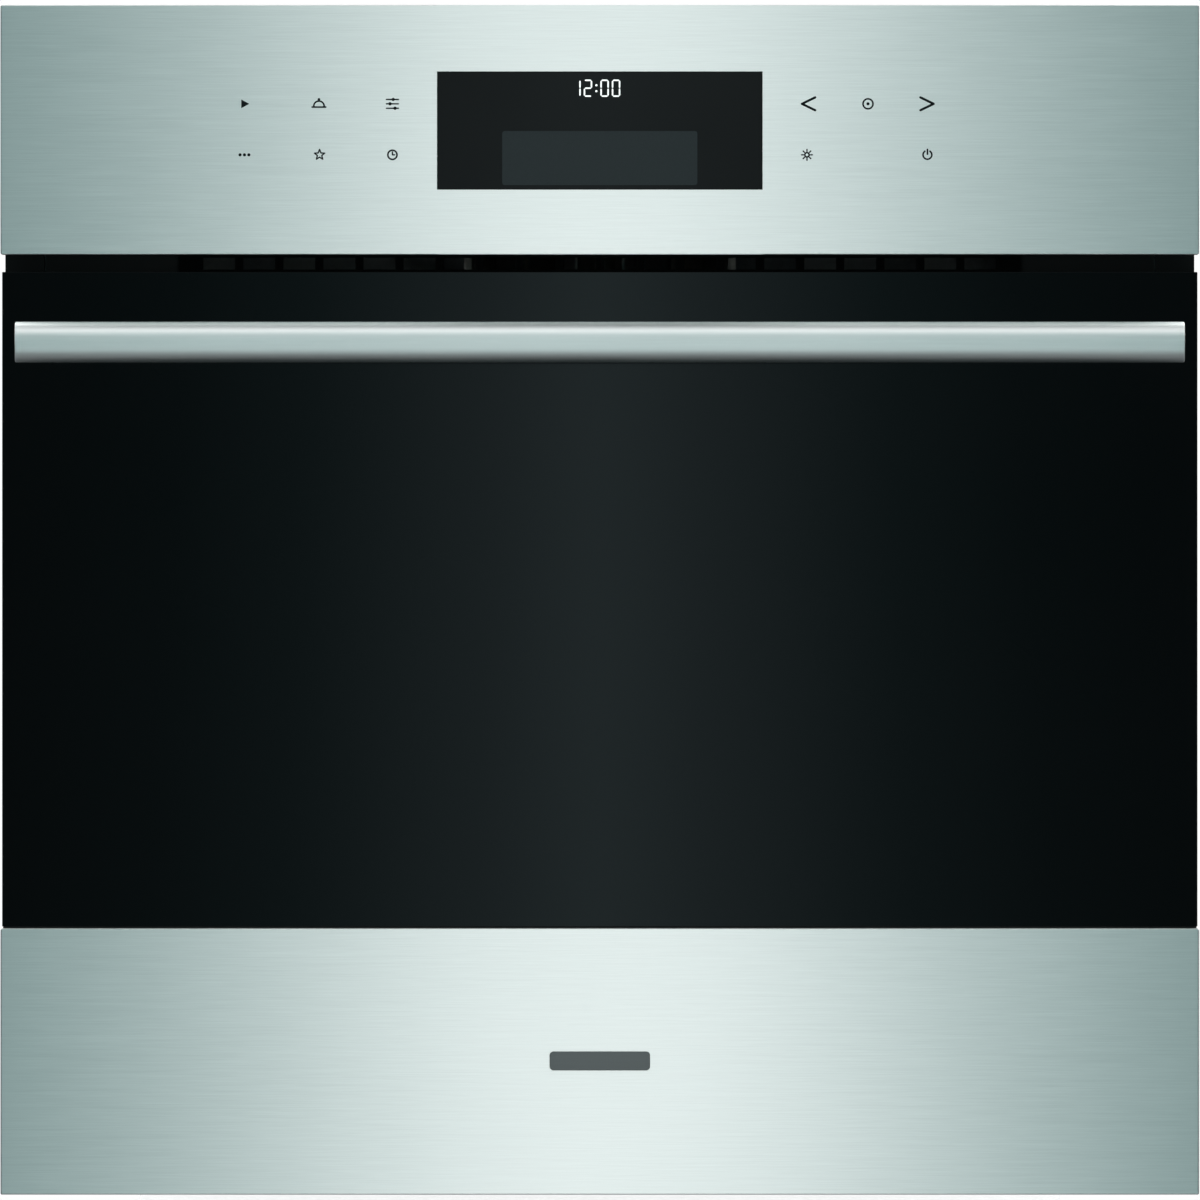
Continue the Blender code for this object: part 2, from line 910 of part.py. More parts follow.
def vent_grille():
    low = (-0.2100, DOOR_BACK + 0.0005, 0.4600)
    high = (0.2100, FRAME_FRONT - 0.0005, 0.4830)
    grille = solid("vent_grille", [box(low, high)], "black_plastic")
    slots = []
    count = 20
    pitch = 0.0200
    for i in range(count):
        x = pitch * (i - (count - 1) / 2)
        slots.append(box((x - 0.0080, -0.27, 0.4645), (x + 0.0080, -0.24, 0.4705)))
    cut(grille, slots)


# Controls


def control_fascia():
    fascia = shell(
        "control_fascia",
        (-WIDTH / 2, FRONT, FASCIA_BOTTOM),
        (WIDTH / 2, DOOR_BACK - 0.0005, FASCIA_TOP),
        (0, 1, 0),
        SHEET,
        "brushed_steel",
        corner=0.0014,
    )
    window = slab(
        (-WINDOW_HALF, FRONT - 0.01, WINDOW_BOTTOM),
        (WINDOW_HALF, FRONT + 0.01, WINDOW_TOP),
        "y",
        0.0008,
        1,
    )
    cut(fascia, [window])


def display():
    pane = slab(
        (GAP - WINDOW_HALF, FRONT + 0.0002, WINDOW_BOTTOM + GAP),
        (WINDOW_HALF - GAP, FRONT + 0.0032, WINDOW_TOP - GAP),
        "y",
        0.0008,
        1,
    )
    solid("display_window", [pane], "black_glass")
    module = solid(
        "display_module",
        [box((-0.0620, FRONT + 0.0035, 0.5020), (0.0620, FRONT + 0.0125, 0.5650))],
        "black_plastic",
    )
    pins = []
    for i in range(8):
        x = 0.0080 * (i - 3.5)
        pins.append(
            box((x - 0.0010, FRONT + 0.0120, 0.5040), (x + 0.0010, FRONT + 0.0138, 0.5060))
        )
    join(module, pins)


def control_board():
    front = FRONT + 0.0145
    back = front + 0.0016
    plate = box((-0.1900, front, 0.4960), (0.1900, back, 0.5720))
    board = solid("control_board", [plate], "circuit_board")
    low = back - 0.0002
    packages = [
        box((-0.0200, low, 0.5200), (0.0200, back + 0.0030, 0.5500)),
        box((-0.1700, low, 0.5050), (-0.1500, back + 0.0080, 0.5600)),
        box((-0.1200, low, 0.5300), (-0.0900, back + 0.0060, 0.5450)),
        box((0.0900, low, 0.5100), (0.1050, back + 0.0080, 0.5250)),
        box((0.1300, low, 0.5250), (0.1700, back + 0.0080, 0.5500)),
    ]
    join(board, packages)


def control_housing():
    back = -0.2615
    housing = shell(
        "control_housing",
        (-0.2000, FRONT + 0.0135, 0.4880),
        (0.2000, back, 0.5800),
        (0, -1, 0),
        0.0018,
        "black_plastic",
    )
    bosses = []
    for x in (-0.1850, 0.1850):
        for z in (0.5000, 0.5680):
            bosses.append(rod((x, back - 0.0010, z), (x, FRAME_FRONT - GAP, z), 0.0040, 8))
    join(housing, bosses)


def power_board():
    z = 0.5040
    board = solid("power_board", [box((0.0750, 0.0300, z), (0.2000, 0.1450, z + 0.0016))], "circuit_board")
    legs = []
    for x in (0.0820, 0.1930):
        for y in (0.0370, 0.1380):
            legs.append(rod((x, y, DUCT_TOP + GAP), (x, y, z + 0.0010), 0.0030, 8))
    join(board, legs)
    low = z + 0.0014
    relays = []
    for i in range(4):
        x = 0.0900 + 0.0270 * i
        relays.append(box((x - 0.0100, 0.0450, low), (x + 0.0100, 0.0720, z + 0.0180)))
    relays.append(box((0.0850, 0.0850, low), (0.1250, 0.1250, z + 0.0300)))
    relays.append(box((0.1400, 0.0850, low), (0.1900, 0.0950, z + 0.0120)))
    relays.append(rod((0.1500, 0.1150, low), (0.1500, 0.1150, z + 0.0260), 0.0080, 10))
    relays.append(rod((0.1750, 0.1150, low), (0.1750, 0.1150, z + 0.0260), 0.0080, 10))
    join(board, relays)


def terminal_box():
    half = 0.0450
    front = REAR + GAP
    back = 0.2765
    low = (TERMINAL_X - half, front, TERMINAL_BOTTOM)
    high = (TERMINAL_X + half, back, TERMINAL_TOP)
    case = shell("terminal_box", low, high, (0, 1, 0), 0.0020, "black_plastic")
    inlet_y = (front + back) / 2
    middle_z = (TERMINAL_BOTTOM + TERMINAL_TOP) / 2
    start = (TERMINAL_X, inlet_y, TERMINAL_BOTTOM - 0.01)
    end = (TERMINAL_X, inlet_y, TERMINAL_BOTTOM + 0.01)
    inlet = rod(start, end, 0.0100, 12)
    wires = rod((TERMINAL_X, front - 0.01, middle_z), (TERMINAL_X, front + 0.01, middle_z), 0.0080)
    cut(case, [inlet, wires])
    cover = slab(
        (TERMINAL_X - half, back + GAP, TERMINAL_BOTTOM),
        (TERMINAL_X + half, back + GAP + 0.0015, TERMINAL_TOP),
        "y",
        0.0030,
        2,
    )
    solid("terminal_cover", [cover], "black_plastic")


def wiring_harness():
    """From inside the terminal box, through the rear panel, to the board's terminal strip."""
    middle_z = (TERMINAL_BOTTOM + TERMINAL_TOP) / 2
    knots = [
        (TERMINAL_X, 0.2620, middle_z),
        (TERMINAL_X, 0.2350, middle_z),
        (-0.1500, 0.2100, 0.5450),
        (-0.0300, 0.1950, 0.5520),
        (0.0900, 0.1750, 0.5480),
        (0.1550, 0.1200, 0.5470),
        (0.1650, 0.0900, 0.5370),
        (0.1650, 0.0900, 0.5175),
    ]
    tube("wiring_harness", smooth_route(knots, 4), 0.0040, "cable", 2)


# Hinges


def hinge_claw(name, side):
    """The fixed arm that the door turns on, with a round nose about the pin."""
    nose = arc((HINGE_Y, HINGE_Z), CLAW_NOSE, 90, 270, 8)
    low = HINGE_Z - CLAW_NOSE
    high = HINGE_Z + CLAW_NOSE
    heel = [
        (-0.2460, low),
        (-0.2420, 0.0050),
        (-0.2000, 0.0050),
        (-0.1950, 0.0120),
        (-0.1990, 0.0360),
        (-0.2250, 0.0360),
        (-0.2300, 0.0260),
        (-0.2400, high),
    ]
    eye = arc((HINGE_Y, HINGE_Z), PIN + GAP, 0, 330, 11)
    centre = (side * HINGE_X, 0, 0)
    outline(name, [nose + heel, eye], 2 * CLAW_HALF, centre, "x", "zinc")


def hinge_channel(name, side):
    """A U over the claw: web to the front, cheeks either side, open below and behind."""
    x = side * HINGE_X
    front = FRONT + OUTER_GLASS + 0.0005
    channel = solid(
        name,
        [box((x - CHANNEL_HALF, front, 0.0065), (x + CHANNEL_HALF, -0.2645, 0.2000))],
        "zinc",
    )
    inner = CHANNEL_HALF - CHANNEL_WALL
    space = box((x - inner, front + 0.0012, -0.01), (x + inner, -0.25, 0.1985))
    cut(channel, [space])
    eye = rod((x - 0.02, HINGE_Y, HINGE_Z), (x + 0.02, HINGE_Y, HINGE_Z), PIN + GAP)
    cut(channel, [eye])
    keep_place(channel, door)


def hinge_pin(name, side):
    reach = CHANNEL_HALF + 0.0010
    head = CHANNEL_HALF + GAP
    profile = [
        (0.0, reach + 0.0010),
        (0.0036, reach + 0.0010),
        (0.0036, head),
        (PIN, head),
        (PIN, -reach),
        (0.0, -reach),
    ]
    pin = turned(name, profile, (side, 0, 0), (side * HINGE_X, HINGE_Y, HINGE_Z), 12, "zinc")
    keep_place(pin, door)


def hinge_spring(name, side):
    turns = 11
    per_turn = 6
    bottom, top = 0.0350, 0.1850
    centre = (side * HINGE_X, -0.2755)
    radius = 0.0032
    points = []
    for i in range(turns * per_turn + 1):
        angle = 2 * math.pi * i / per_turn
        height = bottom + (top - bottom) * i / (turns * per_turn)
        across = centre[0] + radius * math.cos(angle)
        along = centre[1] + radius * math.sin(angle)
        points.append((across, along, height))
    spring = tube(name, points, 0.0007, "zinc", 0)
    keep_place(spring, door)


# Door


def door_glass():
    half = GLASS_WIDTH / 2
    pane = slab((-half, FRONT, GLASS_BOTTOM), (half, FRONT + OUTER_GLASS, GLASS_TOP), "y", 0.0010, 1)
    outer = solid("door_glass_outer", [pane], "black_glass")
    pane = slab((-0.2390, -0.2760, 0.0700), (0.2390, -0.2730, 0.4440), "y", 0.0040, 1)
    middle = solid("door_glass_middle", [pane], "clear_glass")
    pane = slab((-0.2580, -0.2640, 0.0590), (0.2580, DOOR_BACK, 0.4460), "y", 0.0060, 2)
    inner = solid("door_glass_inner", [pane], "black_glass")
    for glass in (outer, middle, inner):
        keep_place(glass, door)


def door_inner_frame():
    plate = slab((-0.2945, -0.2618, 0.0225), (0.2945, DOOR_BACK, 0.4620), "y", 0.0040, 2)
    frame = solid("door_inner_frame", [plate], "black_enamel")
    opening = slab((-0.2583, -0.27, 0.0587), (0.2583, -0.25, 0.4463), "y", 0.0063, 2)
    cut(frame, [opening])
    keep_place(frame, door)


def door_lower_trim():
    half = WIDTH / 2
    back = -0.2622
    block = slab((-half, FRONT, DOOR_BOTTOM), (half, back, TRIM_TOP), "z", 0.0012, 2)
    trim = solid("door_lower_trim", [block], "brushed_steel")
    wall = 0.0010
    space = box((wall - half, FRONT + wall, DOOR_BOTTOM + wall), (half - wall, -0.25, TRIM_TOP + 0.01))
    notches = []
    for side in (-1, 1):
        middle = side * HINGE_X
        notches.append(box((middle - 0.0068, -0.2885, -0.01), (middle + 0.0068, -0.25, 0.0060)))
    cut(trim, [space])
    cut(trim, notches)
    keep_place(trim, door)


def door_side_channel(name, side):
    near, far = side * 0.2800, side * 0.2968
    low = (min(near, far), FRONT + OUTER_GLASS + GAP, GLASS_BOTTOM)
    high = (max(near, far), -0.2621, GLASS_TOP - 0.0005)
    channel = shell(name, low, high, (-side, 0, 0), SHEET, "black_enamel")
    keep_place(channel, door)


def door_rails():
    front = FRONT + OUTER_GLASS + GAP
    top = shell(
        "door_top_rail",
        (-0.2795, front, 0.4480),
        (0.2795, -0.2621, GLASS_TOP - 0.0005),
        (0, 0, -1),
        SHEET,
        "black_enamel",
    )
    slots = []
    for i in range(12):
        x = 0.0400 * (i - 5.5)
        slots.append(box((x - 0.0130, -0.2780, 0.4550), (x + 0.0130, -0.2740, 0.4700)))
    cut(top, slots)
    bottom = shell(
        "door_bottom_rail",
        (-0.2350, -0.2880, DOOR_BOTTOM + 0.0014),
        (0.2350, -0.2622, 0.0215),
        (0, 0, 1),
        SHEET,
        "galvanised",
    )
    for rail in (top, bottom):
        keep_place(rail, door)


def handle():
    half = HANDLE_LENGTH / 2
    edge = 0.0008
    profile = [
        (0.0, half),
        (HANDLE_RADIUS - edge, half),
        (HANDLE_RADIUS, half - edge),
        (HANDLE_RADIUS, edge - half),
        (HANDLE_RADIUS - edge, -half),
        (0.0, -half),
    ]
    bar = turned("handle_bar", profile, (1, 0, 0), (0, HANDLE_Y, HANDLE_Z), 24, "brushed_steel")
    keep_place(bar, door)
    for name, side in (("handle_post_left", -1), ("handle_post_right", 1)):
        x = side * POST_X
        post = solid(
            name,
            [rod((x, HANDLE_Y + 0.0040, HANDLE_Z), (x, FRONT - GAP, HANDLE_Z), POST_RADIUS, 16)],
            "brushed_steel",
        )
        saddle = rod(
            (x - 0.02, HANDLE_Y, HANDLE_Z), (x + 0.02, HANDLE_Y, HANDLE_Z), HANDLE_RADIUS + GAP, 24
        )
        cut(post, [saddle])
        keep_place(post, door)


def badge_plate():
    half = 0.0250
    middle = 0.0700
    front = FRONT - GAP - 0.0008
    blank = slab((-half, front, middle - 0.0047), (half, FRONT - GAP, middle + 0.0047), "y", 0.0020, 3)
    plate = solid("badge_plate", [blank], "nameplate")
    keep_place(plate, door)


def settle():
    """Lowers the oven, which is drawn up from its outline's lower edge, until its base is at z = 0."""
    for obj in bpy.data.objects:
        if obj.parent is None:
            obj.location.z -= BODY_BOTTOM


# Build

clear_scene()
parts = new_collection("wall_oven")
cutters = new_collection("cutters")
cutters.hide_render = True
door = pivot("door_hinge", (0, HINGE_Y, HINGE_Z))
SIDES = (("left", -1), ("right", 1))

base_panel()
top_cover()
rear_panel()
front_frame()
cavity()
insulation()
gasket()
elements()
fan_baffle()
convection_fan()
convection_motor()
lamp()
temperature_probe()
wire_rack()
baking_tray()
air_duct()
cooling_fan_wheel()
cooling_fan_motor()
vent_grille()
control_fascia()
display()
control_board()
control_housing()
power_board()
terminal_box()
wiring_harness()
door_glass()
door_inner_frame()
door_lower_trim()
door_rails()
handle()
badge_plate()
for word, direction in SIDES:
    side_panel(f"side_panel_{word}", direction)
    mount_flange(f"mount_flange_{word}", direction)
    ladder(f"rack_ladder_{word}", direction)
    hinge_claw(f"hinge_claw_{word}", direction)
    hinge_channel(f"hinge_channel_{word}", direction)
    hinge_pin(f"hinge_pin_{word}", direction)
    hinge_spring(f"hinge_spring_{word}", direction)
    door_side_channel(f"door_side_channel_{word}", direction)
settle()
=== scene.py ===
"""Looks of the built-in wall oven: steel, glass, enamel, wire and the small fittings.

Metres, +Z up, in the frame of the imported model: the front faces -Y. The bodies are carcase,
door, rack, tray, convection_fan and cooling_fan. Pieces are modelled in place, with their
object's origin at the frame's origin, so procedural patterns follow their body.
"""

import json
import math

import bmesh
import bpy
from mathutils import Matrix, Vector


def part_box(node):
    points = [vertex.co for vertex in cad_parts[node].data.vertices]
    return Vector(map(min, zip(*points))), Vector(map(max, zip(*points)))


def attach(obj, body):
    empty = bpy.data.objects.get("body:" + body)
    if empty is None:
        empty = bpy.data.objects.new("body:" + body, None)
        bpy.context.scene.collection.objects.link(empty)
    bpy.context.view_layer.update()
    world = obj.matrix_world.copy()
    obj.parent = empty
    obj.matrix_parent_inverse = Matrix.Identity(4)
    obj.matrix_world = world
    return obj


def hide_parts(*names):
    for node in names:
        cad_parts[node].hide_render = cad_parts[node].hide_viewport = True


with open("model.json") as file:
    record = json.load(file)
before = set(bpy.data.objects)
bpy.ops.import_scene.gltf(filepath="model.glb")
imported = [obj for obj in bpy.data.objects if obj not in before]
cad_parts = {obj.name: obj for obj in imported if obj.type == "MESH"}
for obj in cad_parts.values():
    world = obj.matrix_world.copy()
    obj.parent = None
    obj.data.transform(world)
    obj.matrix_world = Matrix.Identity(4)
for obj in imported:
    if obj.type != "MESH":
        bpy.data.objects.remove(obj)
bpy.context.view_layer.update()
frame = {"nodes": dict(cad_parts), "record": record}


# Materials

FINISH = {}


def add_node(tree, kind, inputs=None, **settings):
    """A node with its settings made, and its inputs set or linked."""
    node = tree.nodes.new(kind)
    for name, value in settings.items():
        setattr(node, name, value)
    for name, value in (inputs or {}).items():
        if isinstance(value, bpy.types.NodeSocket):
            tree.links.new(value, node.inputs[name])
        else:
            node.inputs[name].default_value = value
    return node


def tint(colour, share):
    """The colour made darker or lighter, and never above white."""
    return tuple(min(1.0, c * share) for c in colour)


class Shader:
    """A Principled material, kept in FINISH by its name, and short calls that add nodes."""

    def __init__(self, name, colour, roughness, metallic=0.0, **sockets):
        self.material = FINISH[name] = bpy.data.materials.new(name)
        self.material.use_nodes = True
        self.tree = self.material.node_tree
        self.surface = self.tree.nodes["Principled BSDF"]
        self.set("Base Color", (*colour, 1.0))
        self.set("Roughness", roughness)
        self.set("Metallic", metallic)
        for socket, value in sockets.items():
            self.set(socket.replace("_", " "), value)

    def set(self, socket, value):
        self.surface.inputs[socket].default_value = value

    def add(self, kind, inputs=None, **settings):
        return add_node(self.tree, kind, inputs, **settings)

    def link(self, output, socket):
        self.tree.links.new(output, self.surface.inputs[socket])

    def place(self, scale=(1, 1, 1), turn=(0, 0, 0)):
        """Object coordinates in metres, times a scale on each axis."""
        where = self.add("ShaderNodeTexCoord")
        spread = {"Vector": where.outputs["Object"], "Scale": scale, "Rotation": turn}
        return self.add("ShaderNodeMapping", spread).outputs["Vector"]

    def noise(self, scale, detail=4.0, roughness=0.55, stretch=(1, 1, 1)):
        inputs = {
            "Vector": self.place(stretch),
            "Scale": scale,
            "Detail": detail,
            "Roughness": roughness,
        }
        return self.add("ShaderNodeTexNoise", inputs).outputs["Fac"]

    def ramp(self, factor, *stops):
        """Colours or greys at places along the factor."""
        node = self.add("ShaderNodeValToRGB", {"Fac": factor})
        points = node.color_ramp.elements
        while len(points) < len(stops):
            points.new(0.5)
        for point, (place, value) in zip(points, stops):
            point.position = place
            colour = value if isinstance(value, tuple) else (value, value, value)
            point.color = (*colour, 1.0)
        return node.outputs["Color"]

    def between(self, factor, low, high):
        """A number from low to high as the factor goes from 0 to 1."""
        node = self.add("ShaderNodeMapRange", {"Value": factor, "To Min": low, "To Max": high})
        return node.outputs["Result"]

    def blend(self, factor, first, second, mode="MIX"):
        node = self.add("ShaderNodeMix", data_type="RGBA", blend_type=mode)
        sockets = [s for s in node.inputs if s.enabled]
        for socket, value in zip(sockets, (factor, first, second)):
            if isinstance(value, bpy.types.NodeSocket):
                self.tree.links.new(value, socket)
            else:
                socket.default_value = value if isinstance(value, float) else (*value, 1.0)
        return next(o for o in node.outputs if o.enabled)

    def maths(self, operation, first, second=0.0):
        inputs = {0: first, 1: second}
        return self.add("ShaderNodeMath", inputs, operation=operation).outputs["Value"]

    def tone(self, factor, *stops):
        """Base colours at places along the factor."""
        self.link(self.ramp(factor, *stops), "Base Color")

    def dull(self, factor, low, high):
        """Roughness from low to high with the factor."""
        self.link(self.between(factor, low, high), "Roughness")

    def bump(self, height, distance, strength=1.0):
        inputs = {"Height": height, "Distance": distance, "Strength": strength}
        self.link(self.add("ShaderNodeBump", inputs).outputs["Normal"], "Normal")


def brushed(name, colour, roughness, anisotropy, rotation, axis="Z", grain=(34, 34, 1900)):
    """Steel brushed along its length: fine streaks in colour, roughness and relief."""
    steel = Shader(name, colour, roughness, 1.0, Anisotropic=anisotropy)
    steel.set("Anisotropic Rotation", rotation)
    tangent = steel.add("ShaderNodeTangent", direction_type="RADIAL", axis=axis)
    steel.link(tangent.outputs["Tangent"], "Tangent")
    fine = steel.noise(1.0, 3.0, 0.6, grain)
    long_streaks = steel.noise(1.0, 2.0, 0.5, tuple(g * 0.3 for g in grain))
    cloud = steel.noise(9.0, 2.0)
    weighted = [(fine, 0.65), (long_streaks, 0.35)]
    mixed = steel.maths("ADD", *(steel.maths("MULTIPLY", *part) for part in weighted))
    tone = steel.ramp(mixed, (0.33, tint(colour, 0.93)), (0.67, tint(colour, 1.05)))
    faint = steel.ramp(cloud, (0.3, (0.975, 0.98, 0.98)), (0.7, (1.0, 1.0, 1.0)))
    steel.link(steel.blend(1.0, tone, faint, "MULTIPLY"), "Base Color")
    steel.dull(mixed, roughness * 0.86, roughness * 1.16)
    steel.bump(fine, 0.00002, 0.25)


def glass_black(name, colour, roughness, level):
    """Glass printed black on its inner side: nearly even, with the faintest haze."""
    pane = Shader(name, colour, roughness, IOR=1.45, Specular_IOR_Level=level)
    pane.set("Specular Tint", (0.66, 0.94, 1.0, 1.0))
    haze = pane.noise(5.0, 3.0)
    pane.dull(haze, roughness * 0.7, roughness * 1.4)
    pane.tone(haze, (0.35, tint(colour, 0.8)), (0.65, colour))


def glass_clear(name, colour, alpha):
    """A thin clear pane, with slight unevenness of its reflections."""
    pane = Shader(name, colour, 0.03, Alpha=alpha)
    haze = pane.noise(4.0, 2.0)
    pane.dull(haze, 0.02, 0.06)
    pane.tone(haze, (0.3, tint(colour, 0.9)), (0.7, colour))


def enamel(name, colour, roughness, specks, level=0.5):
    """Glassy enamel with a slight orange peel and, on the cavity, scattered pale specks."""
    coat = Shader(name, colour, roughness, Specular_IOR_Level=level)
    peel = coat.noise(260.0, 2.0)
    coat.bump(peel, 0.00012, 0.35)
    wear = coat.noise(14.0, 4.0)
    tone = coat.ramp(wear, (0.3, tint(colour, 0.8)), (0.75, tint(colour, 1.2)))
    if specks:
        cells = coat.add("ShaderNodeTexVoronoi", {"Vector": coat.place(), "Scale": 520.0})
        dots = coat.ramp(cells.outputs["Distance"], (0.10, 1.0), (0.17, 0.0))
        pick = coat.add("ShaderNodeSeparateColor", {"Color": cells.outputs["Color"]})
        chosen = coat.ramp(pick.outputs["Red"], (0.60, 0.0), (0.66, 1.0))
        factor = coat.maths("MULTIPLY", dots, chosen)
        tone = coat.blend(factor, tone, (0.34, 0.37, 0.42))
    coat.link(tone, "Base Color")
    coat.dull(wear, roughness * 0.8, roughness * 1.3)


def spangled(name, colour, roughness, scale=90.0):
    """Galvanised sheet: crystals of slightly different grey, each with its own gloss."""
    sheet = Shader(name, colour, roughness, 0.6)
    warp = sheet.noise(35.0, 3.0)
    place = sheet.place()
    bent = sheet.blend(0.015, place, warp, "LINEAR_LIGHT")
    cells = sheet.add("ShaderNodeTexVoronoi", {"Vector": bent, "Scale": scale})
    pick = sheet.add("ShaderNodeSeparateColor", {"Color": cells.outputs["Color"]}).outputs["Green"]
    tone = sheet.ramp(pick, (0.1, tint(colour, 0.90)), (0.9, tint(colour, 1.08)))
    dull = sheet.ramp(sheet.noise(6.0, 5.0), (0.35, (0.86, 0.87, 0.88)), (0.7, (1.0, 1.0, 1.0)))
    sheet.link(sheet.blend(1.0, tone, dull, "MULTIPLY"), "Base Color")
    sheet.dull(pick, roughness * 0.8, roughness * 1.25)
    sheet.bump(pick, 0.00003, 0.3)


def plated(name, colour, roughness, stain):
    """Plated or bare metal with a cloudy stain and fine scratches."""
    metal = Shader(name, colour, roughness, 1.0)
    cloud = metal.noise(40.0, 5.0)
    metal.tone(cloud, (0.3, stain), (0.7, colour))
    scratch = metal.noise(1.0, 2.0, 0.5, (60, 1500, 300))
    metal.dull(scratch, roughness * 0.75, roughness * 1.4)
    metal.bump(scratch, 0.00002, 0.2)


def heater_skin():
    """Sheathed heating rod: dark, oxidised, with straw and blue heat tints."""
    rod = Shader("heater_alloy", (0.12, 0.11, 0.10), 0.5, 0.75)
    cloud = rod.noise(28.0, 6.0)
    dark, straw, brown = (0.055, 0.05, 0.05), (0.13, 0.115, 0.10), (0.20, 0.15, 0.10)
    rod.tone(cloud, (0.3, dark), (0.5, straw), (0.72, brown))
    rod.dull(cloud, 0.6, 0.38)
    rod.bump(rod.noise(700.0, 3.0), 0.00005, 0.5)


def braid():
    """Glass-fibre braid: two sets of slanting yarns over and under each other."""
    cloth = Shader("gasket_braid", (0.15, 0.15, 0.145), 0.88, Sheen_Weight=0.3)
    waves = []
    for slant in (1.0, -1.0):
        turned_place = cloth.place((420, 420, 420), (0.0, slant * 0.9, slant * 0.6))
        inputs = {"Vector": turned_place, "Scale": 0.5, "Distortion": 0.6}
        waves.append(cloth.add("ShaderNodeTexWave", inputs).outputs["Fac"])
    weave = cloth.maths("MAXIMUM", *waves)
    cloth.tone(weave, (0.2, 0.05), (0.9, (0.24, 0.235, 0.22)))
    cloth.bump(weave, 0.0004, 0.7)


def wool():
    """Mineral wool: matted fibres, yellowish grey."""
    mat = Shader("mineral_wool", (0.70, 0.66, 0.55), 0.97, Sheen_Weight=0.4)
    fibres = mat.noise(1.0, 6.0, 0.7, (900, 60, 240))
    tufts = mat.noise(70.0, 5.0)
    mixed = mat.maths("MULTIPLY", mat.maths("ADD", fibres, tufts), 0.5)
    mat.tone(mixed, (0.35, (0.45, 0.41, 0.30)), (0.62, (0.80, 0.77, 0.66)))
    mat.bump(mixed, 0.0015, 0.8)


def plastic(name, colour, roughness, grain, level=0.5):
    """Moulded plastic with a fine spark-eroded grain."""
    body = Shader(name, colour, roughness, Specular_IOR_Level=level)
    pits = body.noise(grain, 3.0)
    body.bump(pits, 0.00008, 0.4)
    cloud = body.noise(18.0, 3.0)
    body.tone(cloud, (0.3, tint(colour, 0.85)), (0.7, tint(colour, 1.2)))
    body.dull(pits, roughness * 0.9, roughness * 1.12)


def circuit():
    """Green laminate with paler tracks and tinned pads; tall parts read dark."""
    board = Shader("circuit_board", (0.01, 0.10, 0.04), 0.4)
    tracks = board.add(
        "ShaderNodeTexBrick",
        {"Vector": board.place((60, 60, 60)), "Mortar Size": 0.045, "Scale": 4.0, "Bias": -0.3},
    )
    tone = board.ramp(tracks.outputs["Fac"], (0.4, (0.012, 0.10, 0.045)), (0.6, (0.03, 0.22, 0.10)))
    pads = board.add("ShaderNodeTexVoronoi", {"Vector": board.place(), "Scale": 260.0})
    dots = board.ramp(pads.outputs["Distance"], (0.12, 1.0), (0.16, 0.0))
    board.link(board.blend(dots, tone, (0.62, 0.62, 0.60)), "Base Color")
    board.dull(dots, 0.45, 0.25)
    board.bump(tracks.outputs["Fac"], 0.00005, 0.5)


def sleeve():
    """Woven sleeving on a cable bundle."""
    cloth = Shader("cable_sleeve", (0.03, 0.03, 0.032), 0.7)
    slanted = cloth.place((900, 900, 900), (0.5, 0.7, 0.3))
    inputs = {"Vector": slanted, "Scale": 0.4, "Distortion": 1.5}
    wave = cloth.add("ShaderNodeTexWave", inputs).outputs["Fac"]
    cloth.tone(wave, (0.3, (0.012, 0.012, 0.013)), (0.8, (0.07, 0.07, 0.075)))
    cloth.bump(wave, 0.0002, 0.6)


def lamp_glass():
    """Borosilicate glass, lightly frosted and ribbed."""
    pane = Shader("lamp_glass", (0.88, 0.90, 0.88), 0.2, Alpha=0.55)
    ribs = pane.noise(320.0, 2.0)
    pane.dull(ribs, 0.1, 0.3)
    pane.tone(ribs, (0.3, (0.78, 0.80, 0.78)), (0.7, (0.93, 0.94, 0.92)))
    pane.bump(ribs, 0.0003, 0.4)


def ink(name, colour, roughness=0.6, glow=0.0):
    """Screen print, or a lit segment when it glows."""
    print_layer = Shader(name, colour, roughness, Specular_IOR_Level=0.1)
    grain = print_layer.noise(1800.0, 2.0)
    print_layer.tone(grain, (0.3, colour), (0.7, tint(colour, 1.15)))
    if glow:
        print_layer.set("Emission Color", (*colour, 1.0))
        print_layer.set("Emission Strength", glow)


STEEL = (0.735, 0.755, 0.745)
HANDLE_STEEL = (0.89, 0.925, 0.918)
brushed("brushed_steel", STEEL, 0.375, 0.15, 0.25)
brushed("handle_steel", HANDLE_STEEL, 0.53, 0.5, 0.25, "X", (14, 500, 500))
glass_black("black_glass", (0.0030, 0.0024, 0.0026), 0.06, 0.122)
glass_black("display_glass", (0.0160, 0.0172, 0.0172), 0.08, 0.06)
glass_clear("clear_glass", (0.035, 0.040, 0.042), 0.42)
enamel("black_enamel", (0.0062, 0.0066, 0.0068), 0.36, False, 0.14)
enamel("graphite_enamel", (0.050, 0.054, 0.062), 0.24, True)
spangled("galvanised_steel", (0.60, 0.62, 0.625), 0.45, 130.0)
plated("zinc_plated", (0.60, 0.60, 0.57), 0.32, (0.44, 0.43, 0.40))
plated("chrome_wire", (0.80, 0.81, 0.82), 0.13, (0.68, 0.69, 0.70))
heater_skin()
braid()
wool()
lamp_glass()
plastic("black_plastic", (0.011, 0.0115, 0.012), 0.55, 1500.0)
plastic("grille_plastic", (0.0026, 0.0030, 0.0030), 0.6, 1500.0, 0.06)
circuit()
sleeve()
brushed("nameplate", (0.085, 0.095, 0.097), 0.38, 0.4, 0.25)
ink("legend_ink", (0.004, 0.008, 0.009))
ink("lcd", (0.027, 0.040, 0.043), 0.3)
ink("clock_light", (0.90, 0.96, 0.95), 0.5, 0.85)


